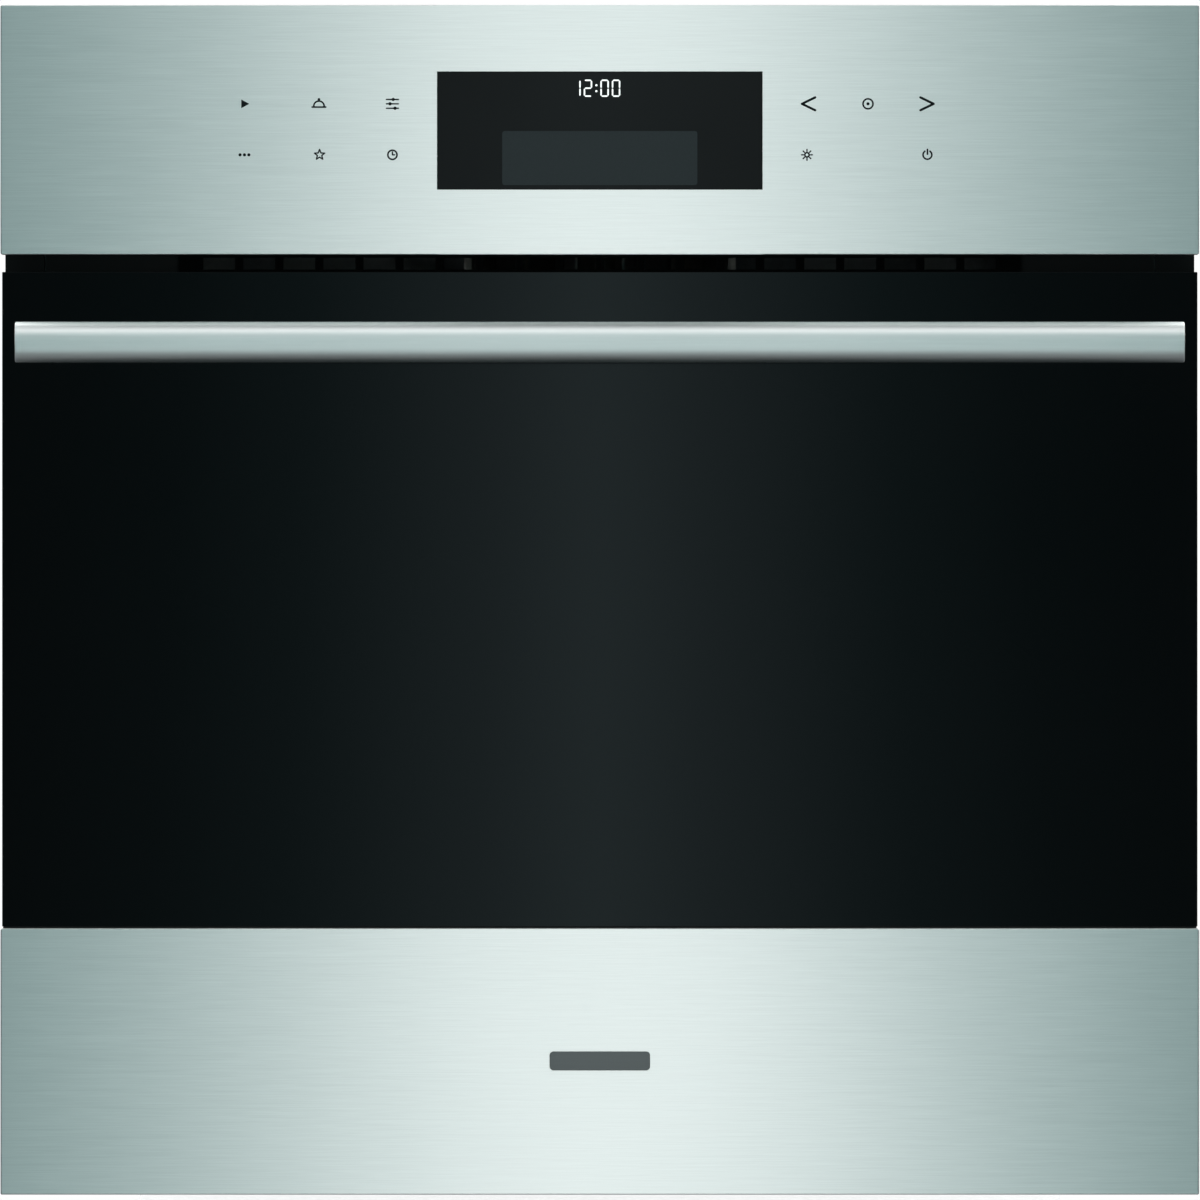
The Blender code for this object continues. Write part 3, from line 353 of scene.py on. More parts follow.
def dress_nodes():
    """Every shown CAD node takes the finish of its material slot."""
    slots = {part["node"]: part["material_slot"] for part in frame["record"]["subparts"]}
    slots["vent_grille"] = "grille_plastic"
    for name, obj in frame["nodes"].items():
        made = FINISH[slots[name]]
        obj.data.materials.clear()
        obj.data.materials.append(made)


# Shapes


def add_box(bm, low, high):
    size = Vector(high) - Vector(low)
    middle = (Vector(high) + Vector(low)) / 2
    place = Matrix.Translation(middle) @ Matrix.Diagonal((*size, 1.0))
    return bmesh.ops.create_cube(bm, size=1.0, matrix=place)["verts"]


def ease(bm, edges, offset, segments):
    bmesh.ops.bevel(bm, geom=edges, offset=offset, segments=segments, profile=0.5, affect="EDGES")


def add_slab(bm, low, high, axis, radius, edge=0.0, segments=6):
    """A plate: rounded corners about the axis, and its two outlines eased by edge."""
    scrap = bmesh.new()
    add_box(scrap, low, high)
    along = "xyz".index(axis)
    if radius:
        corners = []
        for side in scrap.edges:
            run = side.verts[1].co - side.verts[0].co
            if abs(run[along]) > 0.9 * run.length:
                corners.append(side)
        ease(scrap, corners, radius, segments)
    if edge:
        scrap.normal_update()
        rims = {e for f in scrap.faces if abs(f.normal[along]) > 0.99 for e in f.edges}
        ease(scrap, list(rims), edge, 3)
    merge(bm, scrap)


def merge(bm, scrap):
    """Moves the shape in scrap into bm."""
    mesh = bpy.data.meshes.new("scrap")
    scrap.to_mesh(mesh)
    scrap.free()
    bm.from_mesh(mesh)
    bpy.data.meshes.remove(mesh)


def add_rod(bm, start, end, radius, sides=24):
    run = Vector(end) - Vector(start)
    turn = run.to_track_quat("Z", "Y").to_matrix().to_4x4()
    place = Matrix.Translation((Vector(start) + Vector(end)) / 2) @ turn
    sizes = {"radius1": radius, "radius2": radius, "depth": run.length}
    bmesh.ops.create_cone(bm, cap_ends=True, segments=sides, matrix=place, **sizes)


def loft(bm, rings):
    """Faces between each ring of corners and the next."""
    made = []
    for near, far in zip(rings, rings[1:]):
        for i in range(len(near)):
            made.append(bm.faces.new((near[i - 1], near[i], far[i], far[i - 1])))
    return made


def add_tube(bm, points, radius, sides=12, closed=False, flat=1.0):
    """A tube along points. Its section is turned with the path and, when flat < 1, is squashed
    along the normal that starts nearest to Y."""
    path = [Vector(p) for p in points]
    count = len(path)
    normal = Vector((0, 1, 0))
    rings = []
    for i, at in enumerate(path):
        before = path[i - 1] if i or closed else at
        after = path[(i + 1) % count] if i + 1 < count or closed else at
        ahead = (after - before).normalized()
        if abs(normal.dot(ahead)) > 0.9:
            normal = Vector((0, 0, 1)) if abs(ahead.z) < 0.7 else Vector((1, 0, 0))
        normal = (normal - ahead * normal.dot(ahead)).normalized()
        across = ahead.cross(normal)
        ring = []
        for k in range(sides):
            angle = 2 * math.pi * k / sides
            offset = normal * (math.cos(angle) * flat) + across * math.sin(angle)
            ring.append(bm.verts.new(at + offset * radius))
        rings.append(ring)
    loft(bm, rings + rings[:1] if closed else rings)
    if not closed:
        bm.faces.new(rings[0])
        bm.faces.new(rings[-1][::-1])
    bmesh.ops.recalc_face_normals(bm, faces=bm.faces[:])


def add_turned(bm, profile, place, axis, steps=48):
    """Turns (radius, height) pairs about an axis through a place; the ends lie on the axis."""
    up = Vector(axis).normalized()
    side = up.orthogonal().normalized()
    front = up.cross(side)
    rings = []
    for radius, height in profile:
        middle = Vector(place) + up * height
        if radius == 0:
            rings.append([bm.verts.new(middle)])
            continue
        ring = []
        for k in range(steps):
            angle = 2 * math.pi * k / steps
            outward = side * math.cos(angle) + front * math.sin(angle)
            ring.append(bm.verts.new(middle + outward * radius))
        rings.append(ring)
    made = []
    for near, far in zip(rings, rings[1:]):
        for k in range(steps):
            if len(near) == 1:
                corners = [near[0], far[k], far[k - 1]]
            elif len(far) == 1:
                corners = [near[k - 1], near[k], far[0]]
            else:
                corners = [near[k - 1], near[k], far[k], far[k - 1]]
            made.append(bm.faces.new(corners))
    bmesh.ops.recalc_face_normals(bm, faces=made)


def add_screw(bm, place, axis, radius=0.0036):
    """A pan head on a washer, with a round socket sunk into it."""
    profile = [
        (0.0, 0.0),
        (radius * 1.25, 0.0),
        (radius * 1.25, radius * 0.12),
        (radius, radius * 0.14),
        (radius, radius * 0.35),
        (radius * 0.8, radius * 0.58),
        (radius * 0.42, radius * 0.66),
        (radius * 0.36, radius * 0.26),
        (0.0, radius * 0.22),
    ]
    add_turned(bm, profile, place, axis, 20)


def add_prism(bm, outline, low, depth):
    """A flat shape of (x, z) points, from y = low back to low + depth."""
    front = [bm.verts.new((x, low, z)) for x, z in outline]
    back = [bm.verts.new((x, low + depth, z)) for x, z in outline]
    made = [bm.faces.new(front), bm.faces.new(back[::-1])]
    bmesh.ops.recalc_face_normals(bm, faces=made + loft(bm, [front, back]))


def add_hood(bm, start, end, out, up, depth, rise):
    """A pressed louvre over a slot: a lip that curves outward and down, with closed ends."""
    start, end, out, up = (Vector(v) for v in (start, end, out, up))
    curve = [(math.sin(a), math.cos(a)) for a in (math.pi * i / 12 for i in range(7))]
    section = [out * (s * depth) + up * (c * rise) for s, c in curve]
    section += [out * (s * depth * 0.6) + up * (c * rise * 0.75) for s, c in reversed(curve)]
    near = [bm.verts.new(start + p) for p in section]
    far = [bm.verts.new(end + p) for p in section]
    made = [bm.faces.new(near), bm.faces.new(far[::-1])]
    bmesh.ops.recalc_face_normals(bm, faces=made + loft(bm, [near, far]))


def arc(centre, radius, start, end, steps):
    """Points of a flat arc; the angles are in degrees."""
    points = []
    for i in range(steps + 1):
        angle = math.radians(start + (end - start) * i / steps)
        points.append((centre[0] + radius * math.cos(angle), centre[1] + radius * math.sin(angle)))
    return points


def circle(centre, radius, steps=60):
    return arc(centre, radius, 0, 360 - 360 / steps, steps - 1)


def lifted(outline, at, axis):
    """A flat outline as points in space, on the plane across the axis at that coordinate."""
    where = "xyz".index(axis)
    return [(*point[:where], at, *point[where:]) for point in outline]


def add_bead(bm, low, high, corner, at, axis, radius):
    """A pressed bead along a rounded rectangle, half sunk into the plane across the axis."""
    add_tube(bm, lifted(rounded(low, high, corner, 10), at, axis), radius, 10, True)


def rounded(low, high, radius, steps=6):
    """The outline of a rounded rectangle between two (across, up) corners."""
    (x0, z0), (x1, z1) = low, high
    points = arc((x1 - radius, z0 + radius), radius, -90, 0, steps)
    points += arc((x1 - radius, z1 - radius), radius, 0, 90, steps)
    points += arc((x0 + radius, z1 - radius), radius, 90, 180, steps)
    points += arc((x0 + radius, z0 + radius), radius, 180, 270, steps)
    return points


# Pieces

MADE = []


def link_mesh(name, bm):
    """An object with the shape in bm, put in the scene."""
    mesh = bpy.data.meshes.new(name)
    bm.to_mesh(mesh)
    bm.free()
    obj = bpy.data.objects.new(name, mesh)
    bpy.context.scene.collection.objects.link(obj)
    return obj


def piece(name, bm, body, finish, replaced=(), angle=35):
    """A smooth-shaded object that rides a body and stands for the replaced CAD nodes. Its
    material slot has the finish's name."""
    obj = link_mesh(name, bm)
    obj.data.shade_smooth()
    obj.data.set_sharp_from_angle(angle=math.radians(angle))
    obj.data.materials.append(FINISH[finish])
    MADE.append(obj)
    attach(obj, body)
    if replaced:
        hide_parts(*replaced)
    return obj


def thicken(obj, sheet, easing):
    """Gives a folded skin its sheet thickness, inward, and eases its cut edges."""
    skin = obj.modifiers.new("Sheet", "SOLIDIFY")
    skin.thickness = sheet
    skin.offset = -1.0
    skin.use_even_offset = True
    cuts = obj.modifiers.new("Cut edges", "BEVEL")
    cuts.width = easing
    cuts.segments = 2
    cuts.limit_method = "ANGLE"
    cuts.angle_limit = math.radians(60)


def even_normals():
    """Lets each large face keep its own normal, so that eased edges don't shade across it."""
    for obj in MADE:
        even = obj.modifiers.new("Even normals", "WEIGHTED_NORMAL")
        even.keep_sharp = True
        even.weight = 100


def box_of(node):
    low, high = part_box(node)
    return Vector(low), Vector(high)


# Front


def add_folded(bm, low, high, corner, window=None, sides="xXzZ"):
    """A front skin, with a window if given, folded back along the named sides."""
    xs, zs = [low.x, high.x], [low.z, high.z]
    if window:
        xs[1:1] = [window[0].x, window[1].x]
        zs[1:1] = [window[0].z, window[1].z]
    scrap = bmesh.new()
    grid = [[scrap.verts.new((x, low.y, z)) for z in zs] for x in xs]
    for i in range(len(xs) - 1):
        for k in range(len(zs) - 1):
            if not (window and i == 1 and k == 1):
                corners = (grid[i][k], grid[i + 1][k], grid[i + 1][k + 1], grid[i][k + 1])
                scrap.faces.new(corners)
    ends = {"x": (0, low.x), "X": (0, high.x), "z": (2, low.z), "Z": (2, high.z)}
    folds = []
    for edge in scrap.edges:
        for side in sides:
            axis, value = ends[side]
            if all(abs(v.co[axis] - value) < 1e-6 for v in edge.verts):
                folds.append(edge)
    made = bmesh.ops.extrude_edge_only(scrap, edges=folds)["geom"]
    for vert in made:
        if isinstance(vert, bmesh.types.BMVert):
            vert.co.y = high.y
    bends = [edge for edge in folds if edge.is_valid]
    for edge in scrap.edges:
        start, end = (vert.co for vert in edge.verts)
        if abs(end.y - start.y) > 0.001 and len(edge.link_faces) == 2:
            at_side = min(abs(start.x - low.x), abs(start.x - high.x)) < 1e-6
            if at_side and min(abs(start.z - low.z), abs(start.z - high.z)) < 1e-6:
                bends.append(edge)
    ease(scrap, bends, corner, 6)
    bmesh.ops.recalc_face_normals(scrap, faces=scrap.faces[:])
    front = min(scrap.faces, key=lambda face: face.calc_center_median().y)
    if front.normal.y > 0:
        bmesh.ops.reverse_faces(scrap, faces=scrap.faces[:])
    merge(bm, scrap)


def control_fascia():
    low, high = box_of("control_fascia")
    window = box_of("display_window")
    gap = Vector((0.0003, 0, 0.0003))
    bm = bmesh.new()
    add_folded(bm, low, high, 0.0007, (window[0] - gap, window[1] + gap))
    obj = piece("fascia_sheet", bm, "carcase", "brushed_steel", ["control_fascia"])
    thicken(obj, 0.0012, 0.00022)


def display_glass():
    low, high = box_of("display_window")
    bm = bmesh.new()
    add_slab(bm, low, high, "y", 0.0008, 0.0002)
    piece("display_pane", bm, "carcase", "display_glass", ["display_window"])
    middle = (low + high) / 2
    bm = bmesh.new()
    half = 0.0486
    area_low = (-half, low.y - 0.00004, low.z + 0.0020)
    area_high = (half, low.y + 0.0004, low.z + 0.0289)
    add_slab(bm, area_low, area_high, "y", 0.0012, 0.0, 4)
    piece("display_area", bm, "carcase", "lcd")
    bm = bmesh.new()
    clock(bm, -0.0137, middle.z + 0.0168, low.y - 0.00005)
    piece("display_digits", bm, "carcase", "clock_light")


SEGMENTS = {0: "abcdef", 1: "bc", 2: "abdeg"}


def clock(bm, left, bottom, front):
    """Twelve o'clock in seven-segment figures."""
    width, height, stroke = 0.0042, 0.0086, 0.00072
    pitch, depth = 0.0057, 0.0003
    x = left
    for figure in (1, 2, None, 0, 0):
        if figure is None:
            for level in (0.33, 0.67):
                dot = circle((x + 0.0006, bottom + height * level), 0.00055, 12)
                add_prism(bm, dot, front, depth)
            x += 0.0026
            continue
        for segment in SEGMENTS[figure]:
            outline = segment_outline(segment, x, bottom, width, height, stroke)
            add_prism(bm, outline, front, depth)
        x += pitch


def segment_outline(segment, left, bottom, width, height, stroke):
    """A bar with pointed ends: a to f run clockwise from the top, and g is the middle bar."""
    middle, gap, s = height / 2, 0.00012, stroke / 2
    bars = {"a": bottom + height - s, "g": bottom + middle, "d": bottom + s}
    if segment in bars:
        z, start, end = bars[segment], left + s + gap, left + width - s - gap
        lower = [(start, z), (start + s, z - s), (end - s, z - s)]
        return lower + [(end, z), (end - s, z + s), (start + s, z + s)]
    x = left + (s if segment in "ef" else width - s)
    upper = segment in "bf"
    low = bottom + (middle if upper else s) + gap
    high = bottom + (height - s if upper else middle) - gap
    right = [(x, low), (x + s, low + s), (x + s, high - s)]
    return right + [(x, high), (x - s, high - s), (x - s, low + s)]


def add_stroke(bm, points, width, front, closed=False):
    """A printed line of even width with round joints."""
    joined = points + points[:1] if closed else points
    for a, b in zip(joined, joined[1:]):
        run = Vector((b[0] - a[0], b[1] - a[1]))
        if run.length < 1e-6:
            continue
        side = Vector((-run.y, run.x)).normalized() * (width / 2)
        corners = [(a[0] + side.x, a[1] + side.y), (b[0] + side.x, b[1] + side.y)]
        corners += [(b[0] - side.x, b[1] - side.y), (a[0] - side.x, a[1] - side.y)]
        add_prism(bm, corners, front, 0.0001)
    for at in joined if closed else points:
        add_prism(bm, circle(at, width / 2, 8), front - 0.000004, 0.0001)


def legends():
    """Plain pictograms where the touch keys are, printed on the steel."""
    low, high = box_of("display_window")
    middle = (low.z + high.z) / 2
    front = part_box("control_fascia")[0][1] - 0.00003
    depth = 0.0001
    upper, lower = middle + 0.0133, middle - 0.0121
    line, fine, bold = 0.00085, 0.0007, 0.0012
    bm = bmesh.new()

    def stroke(points, closed=False, width=line):
        add_stroke(bm, points, width, front, closed)

    def ring(x, z, radius, steps=20):
        stroke(circle((x, z), radius, steps), True)

    def dot(x, z, radius):
        add_prism(bm, circle((x, z), radius, 12), front, depth)

    def play(x, z):
        half = 0.0022
        tip = [(x - 0.0016, z - half), (x + 0.0024, z), (x - 0.0016, z + half)]
        add_prism(bm, tip, front, depth)

    def dish(x, z):
        stroke(arc((x, z - 0.0012), 0.0026, 0, 180, 12))
        stroke([(x - 0.0034, z - 0.0016), (x + 0.0034, z - 0.0016)])
        dot(x, z + 0.0022, 0.0007)

    def sliders(x, z):
        for row, knob in ((-0.0022, 0.0013), (0.0, -0.0012), (0.0022, 0.0004)):
            stroke([(x - 0.0030, z + row), (x + 0.0030, z + row)], width=fine)
            dot(x + knob, z + row, 0.00085)

    def dots(x, z):
        for step in (-0.0022, 0.0, 0.0022):
            dot(x + step, z, 0.0008)

    def star(x, z):
        points = []
        for i in range(10):
            angle = math.pi / 2 + math.pi * i / 5
            reach = 0.0027 if i % 2 == 0 else 0.00115
            points.append((x + reach * math.cos(angle), z + reach * math.sin(angle)))
        stroke(points, True, fine)

    def timer(x, z):
        ring(x, z, 0.0023)
        stroke([(x, z + 0.0014), (x, z), (x + 0.0011, z)], width=fine)

    def arrow(x, z, way):
        ends = x + way * 0.0033
        tips = [(ends, z + 0.0032), (x - way * 0.0033, z), (ends, z - 0.0032)]
        stroke(tips, width=bold)

    def target(x, z):
        ring(x, z, 0.0025)
        dot(x, z, 0.0008)

    def lamp(x, z):
        ring(x, z, 0.0011, 14)
        for i in range(8):
            angle = math.pi * i / 4
            across, up = math.cos(angle), math.sin(angle)
            stroke([(x + r * across, z + r * up) for r in (0.0018, 0.0027)], width=fine)

    def power(x, z):
        stroke(arc((x, z), 0.0022, 125, 415, 18))
        stroke([(x, z + 0.0003), (x, z + 0.0027)])

    play(-0.1770, upper)
    dish(-0.1399, upper)
    sliders(-0.1033, upper)
    dots(-0.1770, lower)
    star(-0.1396, lower)
    timer(-0.1033, lower)
    arrow(0.1040, upper, 1)
    arrow(0.1630, upper, -1)
    target(0.1336, upper)
    lamp(0.1032, lower)
    power(0.1632, lower)
    piece("key_pictograms", bm, "carcase", "legend_ink")


def cut_notch(bm, left, right, front, top):
    """Cuts the folded-back flange away, from x left to right, behind front and below top."""
    planes = [((left, 0, 0), (1, 0, 0)), ((right, 0, 0), (1, 0, 0)), ((0, front, 0), (0, 1, 0))]
    for place, normal in planes:
        every = bm.verts[:] + bm.edges[:] + bm.faces[:]
        bmesh.ops.bisect_plane(bm, geom=every, plane_co=place, plane_no=normal)
    waste = []
    for face in bm.faces:
        middle = face.calc_center_median()
        if left < middle.x < right and middle.y > front and middle.z < top:
            waste.append(face)
    bmesh.ops.delete(bm, geom=waste, context="FACES")
    bmesh.ops.remove_doubles(bm, verts=bm.verts[:], dist=0.00002)
    bmesh.ops.dissolve_degenerate(bm, edges=bm.edges[:], dist=0.00002)


def lower_trim():
    low, high = box_of("door_lower_trim")
    bm = bmesh.new()
    add_folded(bm, low, Vector((high.x, high.y, high.z - 0.0007)), 0.0007, sides="xXz")
    for node in ("hinge_claw_left", "hinge_claw_right"):
        claw_low, claw_high = box_of(node)
        cut_notch(bm, claw_low.x - 0.0026, claw_high.x + 0.0026, claw_low.y - 0.0030, low.z + 0.0030)
    obj = piece("trim_sheet", bm, "door", "brushed_steel", ["door_lower_trim"])
    thicken(obj, 0.0010, 0.0002)
    bm = bmesh.new()
    radius = 0.0007
    start = (low.x + 0.0004, low.y + radius, high.z - radius)
    end = (high.x - 0.0004, low.y + radius, high.z - radius)
    add_rod(bm, start, end, radius, 20)
    piece("trim_hem", bm, "door", "brushed_steel")
    pane_low, pane_high = box_of("door_glass_outer")
    bm = bmesh.new()
    strip_low = (low.x + 0.0012, pane_low.y + 0.0012, high.z + 0.00003)
    strip_high = (high.x - 0.0012, pane_high.y - 0.0002, pane_low.z - 0.00003)
    add_slab(bm, strip_low, strip_high, "y", 0.0003, 0.0001)
    piece("joint_strip", bm, "door", "black_plastic")


def door_panes():
    """The outer, middle and inner panes, each with corners and edges of its own."""
    for name, word, finish, slot, corner, edge in (
        ("front_pane", "outer", "black_glass", None, 0.0004, 0.0004),
        ("middle_pane", "middle", "clear_glass", None, 0.0050, 0.0005),
        ("inner_pane", "inner", "clear_glass", "black_glass", 0.0060, 0.0005),
    ):
        node = f"door_glass_{word}"
        low, high = box_of(node)
        bm = bmesh.new()
        add_slab(bm, low, high, "y", corner, edge)
        piece(name, bm, "door", finish, [node])
    frit_border(low, high)


def frit_border(low, high):
    """The black printed border of the inner pane, with a fading edge of dots."""
    bm = bmesh.new()
    y0, y1 = high.y - 0.0002, high.y + 0.00002
    wide, edge = 0.0420, 0.0012
    x0, x1, z0, z1 = low.x + edge, high.x - edge, low.z + edge, high.z - edge
    outer = rounded((x0, z0), (x1, z1), 0.0050)
    inner = rounded((x0 + wide, z0 + wide), (x1 - wide, z1 - wide), 0.0150)
    rims = []
    for ring, y in ((outer, y0), (inner, y0), (inner, y1), (outer, y1)):
        rims.append([bm.verts.new(at) for at in lifted(ring, y, "y")])
    bmesh.ops.recalc_face_normals(bm, faces=loft(bm, rims + rims[:1]))
    scrap = bmesh.new()
    pitch = 0.0036
    for row in range(3):
        step = wide + 0.0022 + row * pitch * 0.8
        ring = rounded((x0 + step, z0 + step), (x1 - step, z1 - step), 0.0140, 3)
        for a, b in zip(ring, ring[1:] + ring[:1]):
            run = Vector((b[0] - a[0], b[1] - a[1]))
            for i in range(max(1, round(run.length / pitch))):
                t = (i + 0.5 * (row % 2)) * pitch
                if t < run.length:
                    at = Vector(a) + run * (t / run.length)
                    add_dot(scrap, at, 0.0011 - 0.0003 * row, y1 - 0.0001, 0.0001)
    merge(bm, scrap)
    piece("inner_pane_border", bm, "door", "black_glass")


def add_dot(bm, at, radius, low, depth):
    """A six-sided dot."""
    outline = circle(at, radius, 6)
    front, back = ([bm.verts.new(p) for p in lifted(outline, y, "y")] for y in (low, low + depth))
    bm.faces.new(front)
    bm.faces.new(back[::-1])
    loft(bm, [back, front])


def handle():
    low, high = box_of("handle_bar")
    radius = (high.z - low.z) / 2
    y, z = (low.y + high.y) / 2, (low.z + high.z) / 2
    half = high.x
    edge = 0.0006
    sunk = -half + 0.0002
    profile = [(0.0, sunk), (radius - 0.0016, sunk), (radius - 0.0014, -half)]
    profile += [(radius - edge, -half), (radius - edge * 0.3, -half + edge * 0.3)]
    profile += [(radius, -half + edge)]
    profile += [(r, -h) for r, h in reversed(profile)]
    bm = bmesh.new()
    add_turned(bm, profile, (0, y, z), (1, 0, 0), 96)
    piece("handle_tube", bm, "door", "handle_steel", ["handle_bar"])
    for node in ("handle_post_left", "handle_post_right"):
        low, high = box_of(node)
        x = (low.x + high.x) / 2
        post = (high.x - low.x) / 2
        length = high.y - low.y
        groove = post * 0.985
        profile = [(0.0, 0.0), (post, 0.0), (post, length - 0.0022), (groove, length - 0.0019)]
        profile += [(groove, length - 0.0013), (post, length - 0.0010)]
        profile += [(post, length), (0.0, length)]
        bm = bmesh.new()
        add_turned(bm, profile, (x, low.y, z), (0, 1, 0), 48)
        name = node.replace("handle_post", "handle_stud")
        piece(name, bm, "door", "handle_steel", [node])


def badge():
    low, high = box_of("badge_plate")
    bm = bmesh.new()
    border, proud = 0.0016, 0.00006
    field_low = (low.x + border, low.y - proud, low.z + border)
    field_high = (high.x - border, low.y + 0.0002, high.z - border)
    add_slab(bm, low, high, "y", 0.0020, 0.0003)
    add_slab(bm, field_low, field_high, "y", 0.0010, 0.00004)
    piece("badge_blank", bm, "door", "nameplate", ["badge_plate"])


# Door, inside


def door_inside():
    """Screws of the inner frame, and the hinges' coil springs."""
    low, high = box_of("door_inner_frame")
    backward, radius = (0, 1, 0), 0.0030
    bm = bmesh.new()
    for x in (low.x + 0.016, high.x - 0.016):
        for z in (low.z + 0.020, 0.16, 0.30, high.z - 0.014):
            add_screw(bm, (x, high.y, z), backward, radius)
    for x in (-0.19, 0.19):
        add_screw(bm, (x, high.y, low.z + 0.010), backward, radius)
    piece("inner_frame_screws", bm, "door", "zinc_plated")
    turns, per_turn, wire = 30, 14, 0.0007
    for word in ("left", "right"):
        node = f"hinge_spring_{word}"
        low, high = box_of(node)
        centre = (low + high) / 2
        radius = (high.x - low.x) / 2 - wire
        points = []
        for i in range(turns * per_turn + 1):
            angle = 2 * math.pi * i / per_turn
            height = low.z + 0.0009 + (high.z - low.z - 0.0018) * i / (turns * per_turn)
            across = centre.x + radius * math.cos(angle)
            points.append((across, centre.y + radius * math.sin(angle), height))
        bm = bmesh.new()
        add_tube(bm, points, wire, 6)
        piece(f"spring_coil_{word}", bm, "door", "zinc_plated", [node])


# Cavity


def seal():
    """A braided tube of flattened round section, all round the mouth of the cavity."""
    low, high = box_of("cavity_gasket")
    radius = (high.y - low.y) / 2
    widening, step, spacing = 1.75, 0.0050, 0.02
    ring = rounded((low.x + step, low.z + step), (high.x - step, high.z - step), 0.0200, 10)
    dense = []
    for a, b in zip(ring, ring[1:] + ring[:1]):
        start, run = Vector(a), Vector(b) - Vector(a)
        parts = max(1, int(run.length / spacing))
        dense += [start + run * (i / parts) for i in range(parts)]
    bm = bmesh.new()
    path = lifted(dense, (low.y + high.y) / 2, "y")
    add_tube(bm, path, radius * widening, 16, True, 1 / widening)
    piece("gasket_bulb", bm, "carcase", "gasket_braid", ["cavity_gasket"])


def ladders():
    """Two posts on rosettes on each wall, and a pair of rails for each of five levels."""
    rosette = [(0.0, 0.0), (0.0050, 0.0), (0.0050, 0.0012), (0.0034, 0.0026), (0.0, 0.0030)]
    rail_x, post_x, wall_x = 0.2280, 0.2320, 0.23495
    posts = (-0.2050, 0.1050)
    for word, side in (("left", -1), ("right", 1)):
        node = f"rack_ladder_{word}"
        low, high = box_of(node)
        bm = bmesh.new()
        for y in posts:
            add_tube(bm, [(side * post_x, y, z) for z in (low.z, high.z)], 0.0026, 16)
        for level in range(5):
            bottom = low.z + 0.0170 + 0.0550 * level
            for height in (bottom, bottom + 0.0140):
                ends = [(side * rail_x, y, height) for y in (low.y, high.y)]
                add_tube(bm, ends, 0.0024, 14)
        for y in posts:
            for z in (low.z + 0.004, high.z - 0.004):
                add_turned(bm, rosette, (side * wall_x, y, z), (-side, 0, 0), 24)
        piece(f"ladder_{word}", bm, "carcase", "chrome_wire", [node])


def rack():
    """A closed rim of thick wire, with bars along it and two stays under them."""
    low, high = box_of("wire_rack")
    radius = (high.z - low.z) / 2
    z = (low.z + high.z) / 2
    bm = bmesh.new()
    ring = rounded((low.x + radius, low.y + radius), (high.x - radius, high.y - radius), 0.0150, 8)
    add_tube(bm, lifted(ring, z, "z"), radius, 16, True)
    count, spacing = 13, 0.0330
    for i in range(count):
        x = spacing * (i - (count - 1) / 2)
        add_tube(bm, [(x, low.y + radius, z), (x, high.y - radius, z)], 0.0018, 10)
    for y in (low.y + 0.09, high.y - 0.09):
        across = [(low.x + radius, y, z - 0.0010), (high.x - radius, y, z - 0.0010)]
        add_tube(bm, across, 0.0020, 10)
    piece("rack_wires", bm, "rack", "chrome_wire", ["wire_rack"])


def tray():
    """A pressed tray: rolled rim, rounded walls and a shallow raised field in its floor."""
    low, high = box_of("baking_tray")
    top = high.z
    levels = [
        (0.0, top - 0.0030, 0.0140),
        (0.0, top - 0.0008, 0.0140),
        (0.0008, top, 0.0136),
        (0.0085, top, 0.0125),
        (0.0100, top - 0.0008, 0.0120),
        (0.0105, top - 0.0040, 0.0120),
        (0.0118, low.z + 0.0080, 0.0120),
        (0.0140, low.z + 0.0032, 0.0120),
        (0.0190, low.z + 0.0015, 0.0100),
        (0.0400, low.z + 0.0013, 0.0100),
        (0.0430, low.z + 0.0024, 0.0100),
    ]
    bm = bmesh.new()
    rings = []
    for inset, z, radius in levels:
        corners = (low.x + inset, low.y + inset), (high.x - inset, high.y - inset)
        rings.append([bm.verts.new(at) for at in lifted(rounded(*corners, radius), z, "z")])
    loft(bm, rings)
    bm.faces.new(rings[-1])
    bmesh.ops.recalc_face_normals(bm, faces=bm.faces[:])
    field = levels[-1][1]
    floor_face = min(bm.faces, key=lambda face: abs(face.calc_center_median().z - field))
    if floor_face.normal.z < 0:
        bmesh.ops.reverse_faces(bm, faces=bm.faces[:])
    obj = piece("tray_pressing", bm, "tray", "graphite_enamel", ["baking_tray"], angle=50)
    skin = obj.modifiers.new("Sheet", "SOLIDIFY")
    skin.thickness = 0.0011
    skin.offset = -1.0


def heaters():
    """Smooth heating rods with holders, one under the ceiling and one under the floor."""
    add_hairpins("grill_rod", "grill_element", 0.1700, -0.1950, 0.1000, 3.4)
    add_hairpins("bake_rod", "bake_element", 0.1900, -0.2000, 0.1200, 3.8)


def add_hairpins(name, node, half, front, rear, runs):
    """A rod that leaves the rear wall twice and winds outward in hairpins to both sides."""
    low, high = box_of(node)
    radius, lead, terminal, height = 0.0035, 0.0300, high.y, (low.z + high.z) / 2
    pitch = half / runs
    bend = pitch / 2
    right = [(lead, terminal), (lead, rear - bend)]
    x, at_rear = lead, True
    while x + pitch <= half:
        side = rear - bend if at_rear else front + bend
        right += arc((x + bend, side), bend, *((180, 0) if at_rear else (180, 360)), 14)
        x += pitch
        at_rear = not at_rear
    right.append((x, front if at_rear else rear))
    left = [(-across, along) for across, along in right]
    bm = bmesh.new()
    add_tube(bm, lifted(right + left[::-1], height, "z"), radius, 14)
    piece(name, bm, "carcase", "heater_alloy", [node])
    bm = bmesh.new()
    beyond, half_wide = 0.012, 0.0030
    bottom, top = height - radius - 0.0008, height - radius + 0.0002
    for y in (front + 0.05, rear - 0.06):
        ends = (-x - beyond, y - half_wide, bottom), (x + beyond, y + half_wide, top)
        add_slab(bm, *ends, "z", 0.0028)
    piece(f"{name}_holders", bm, "carcase", "zinc_plated")


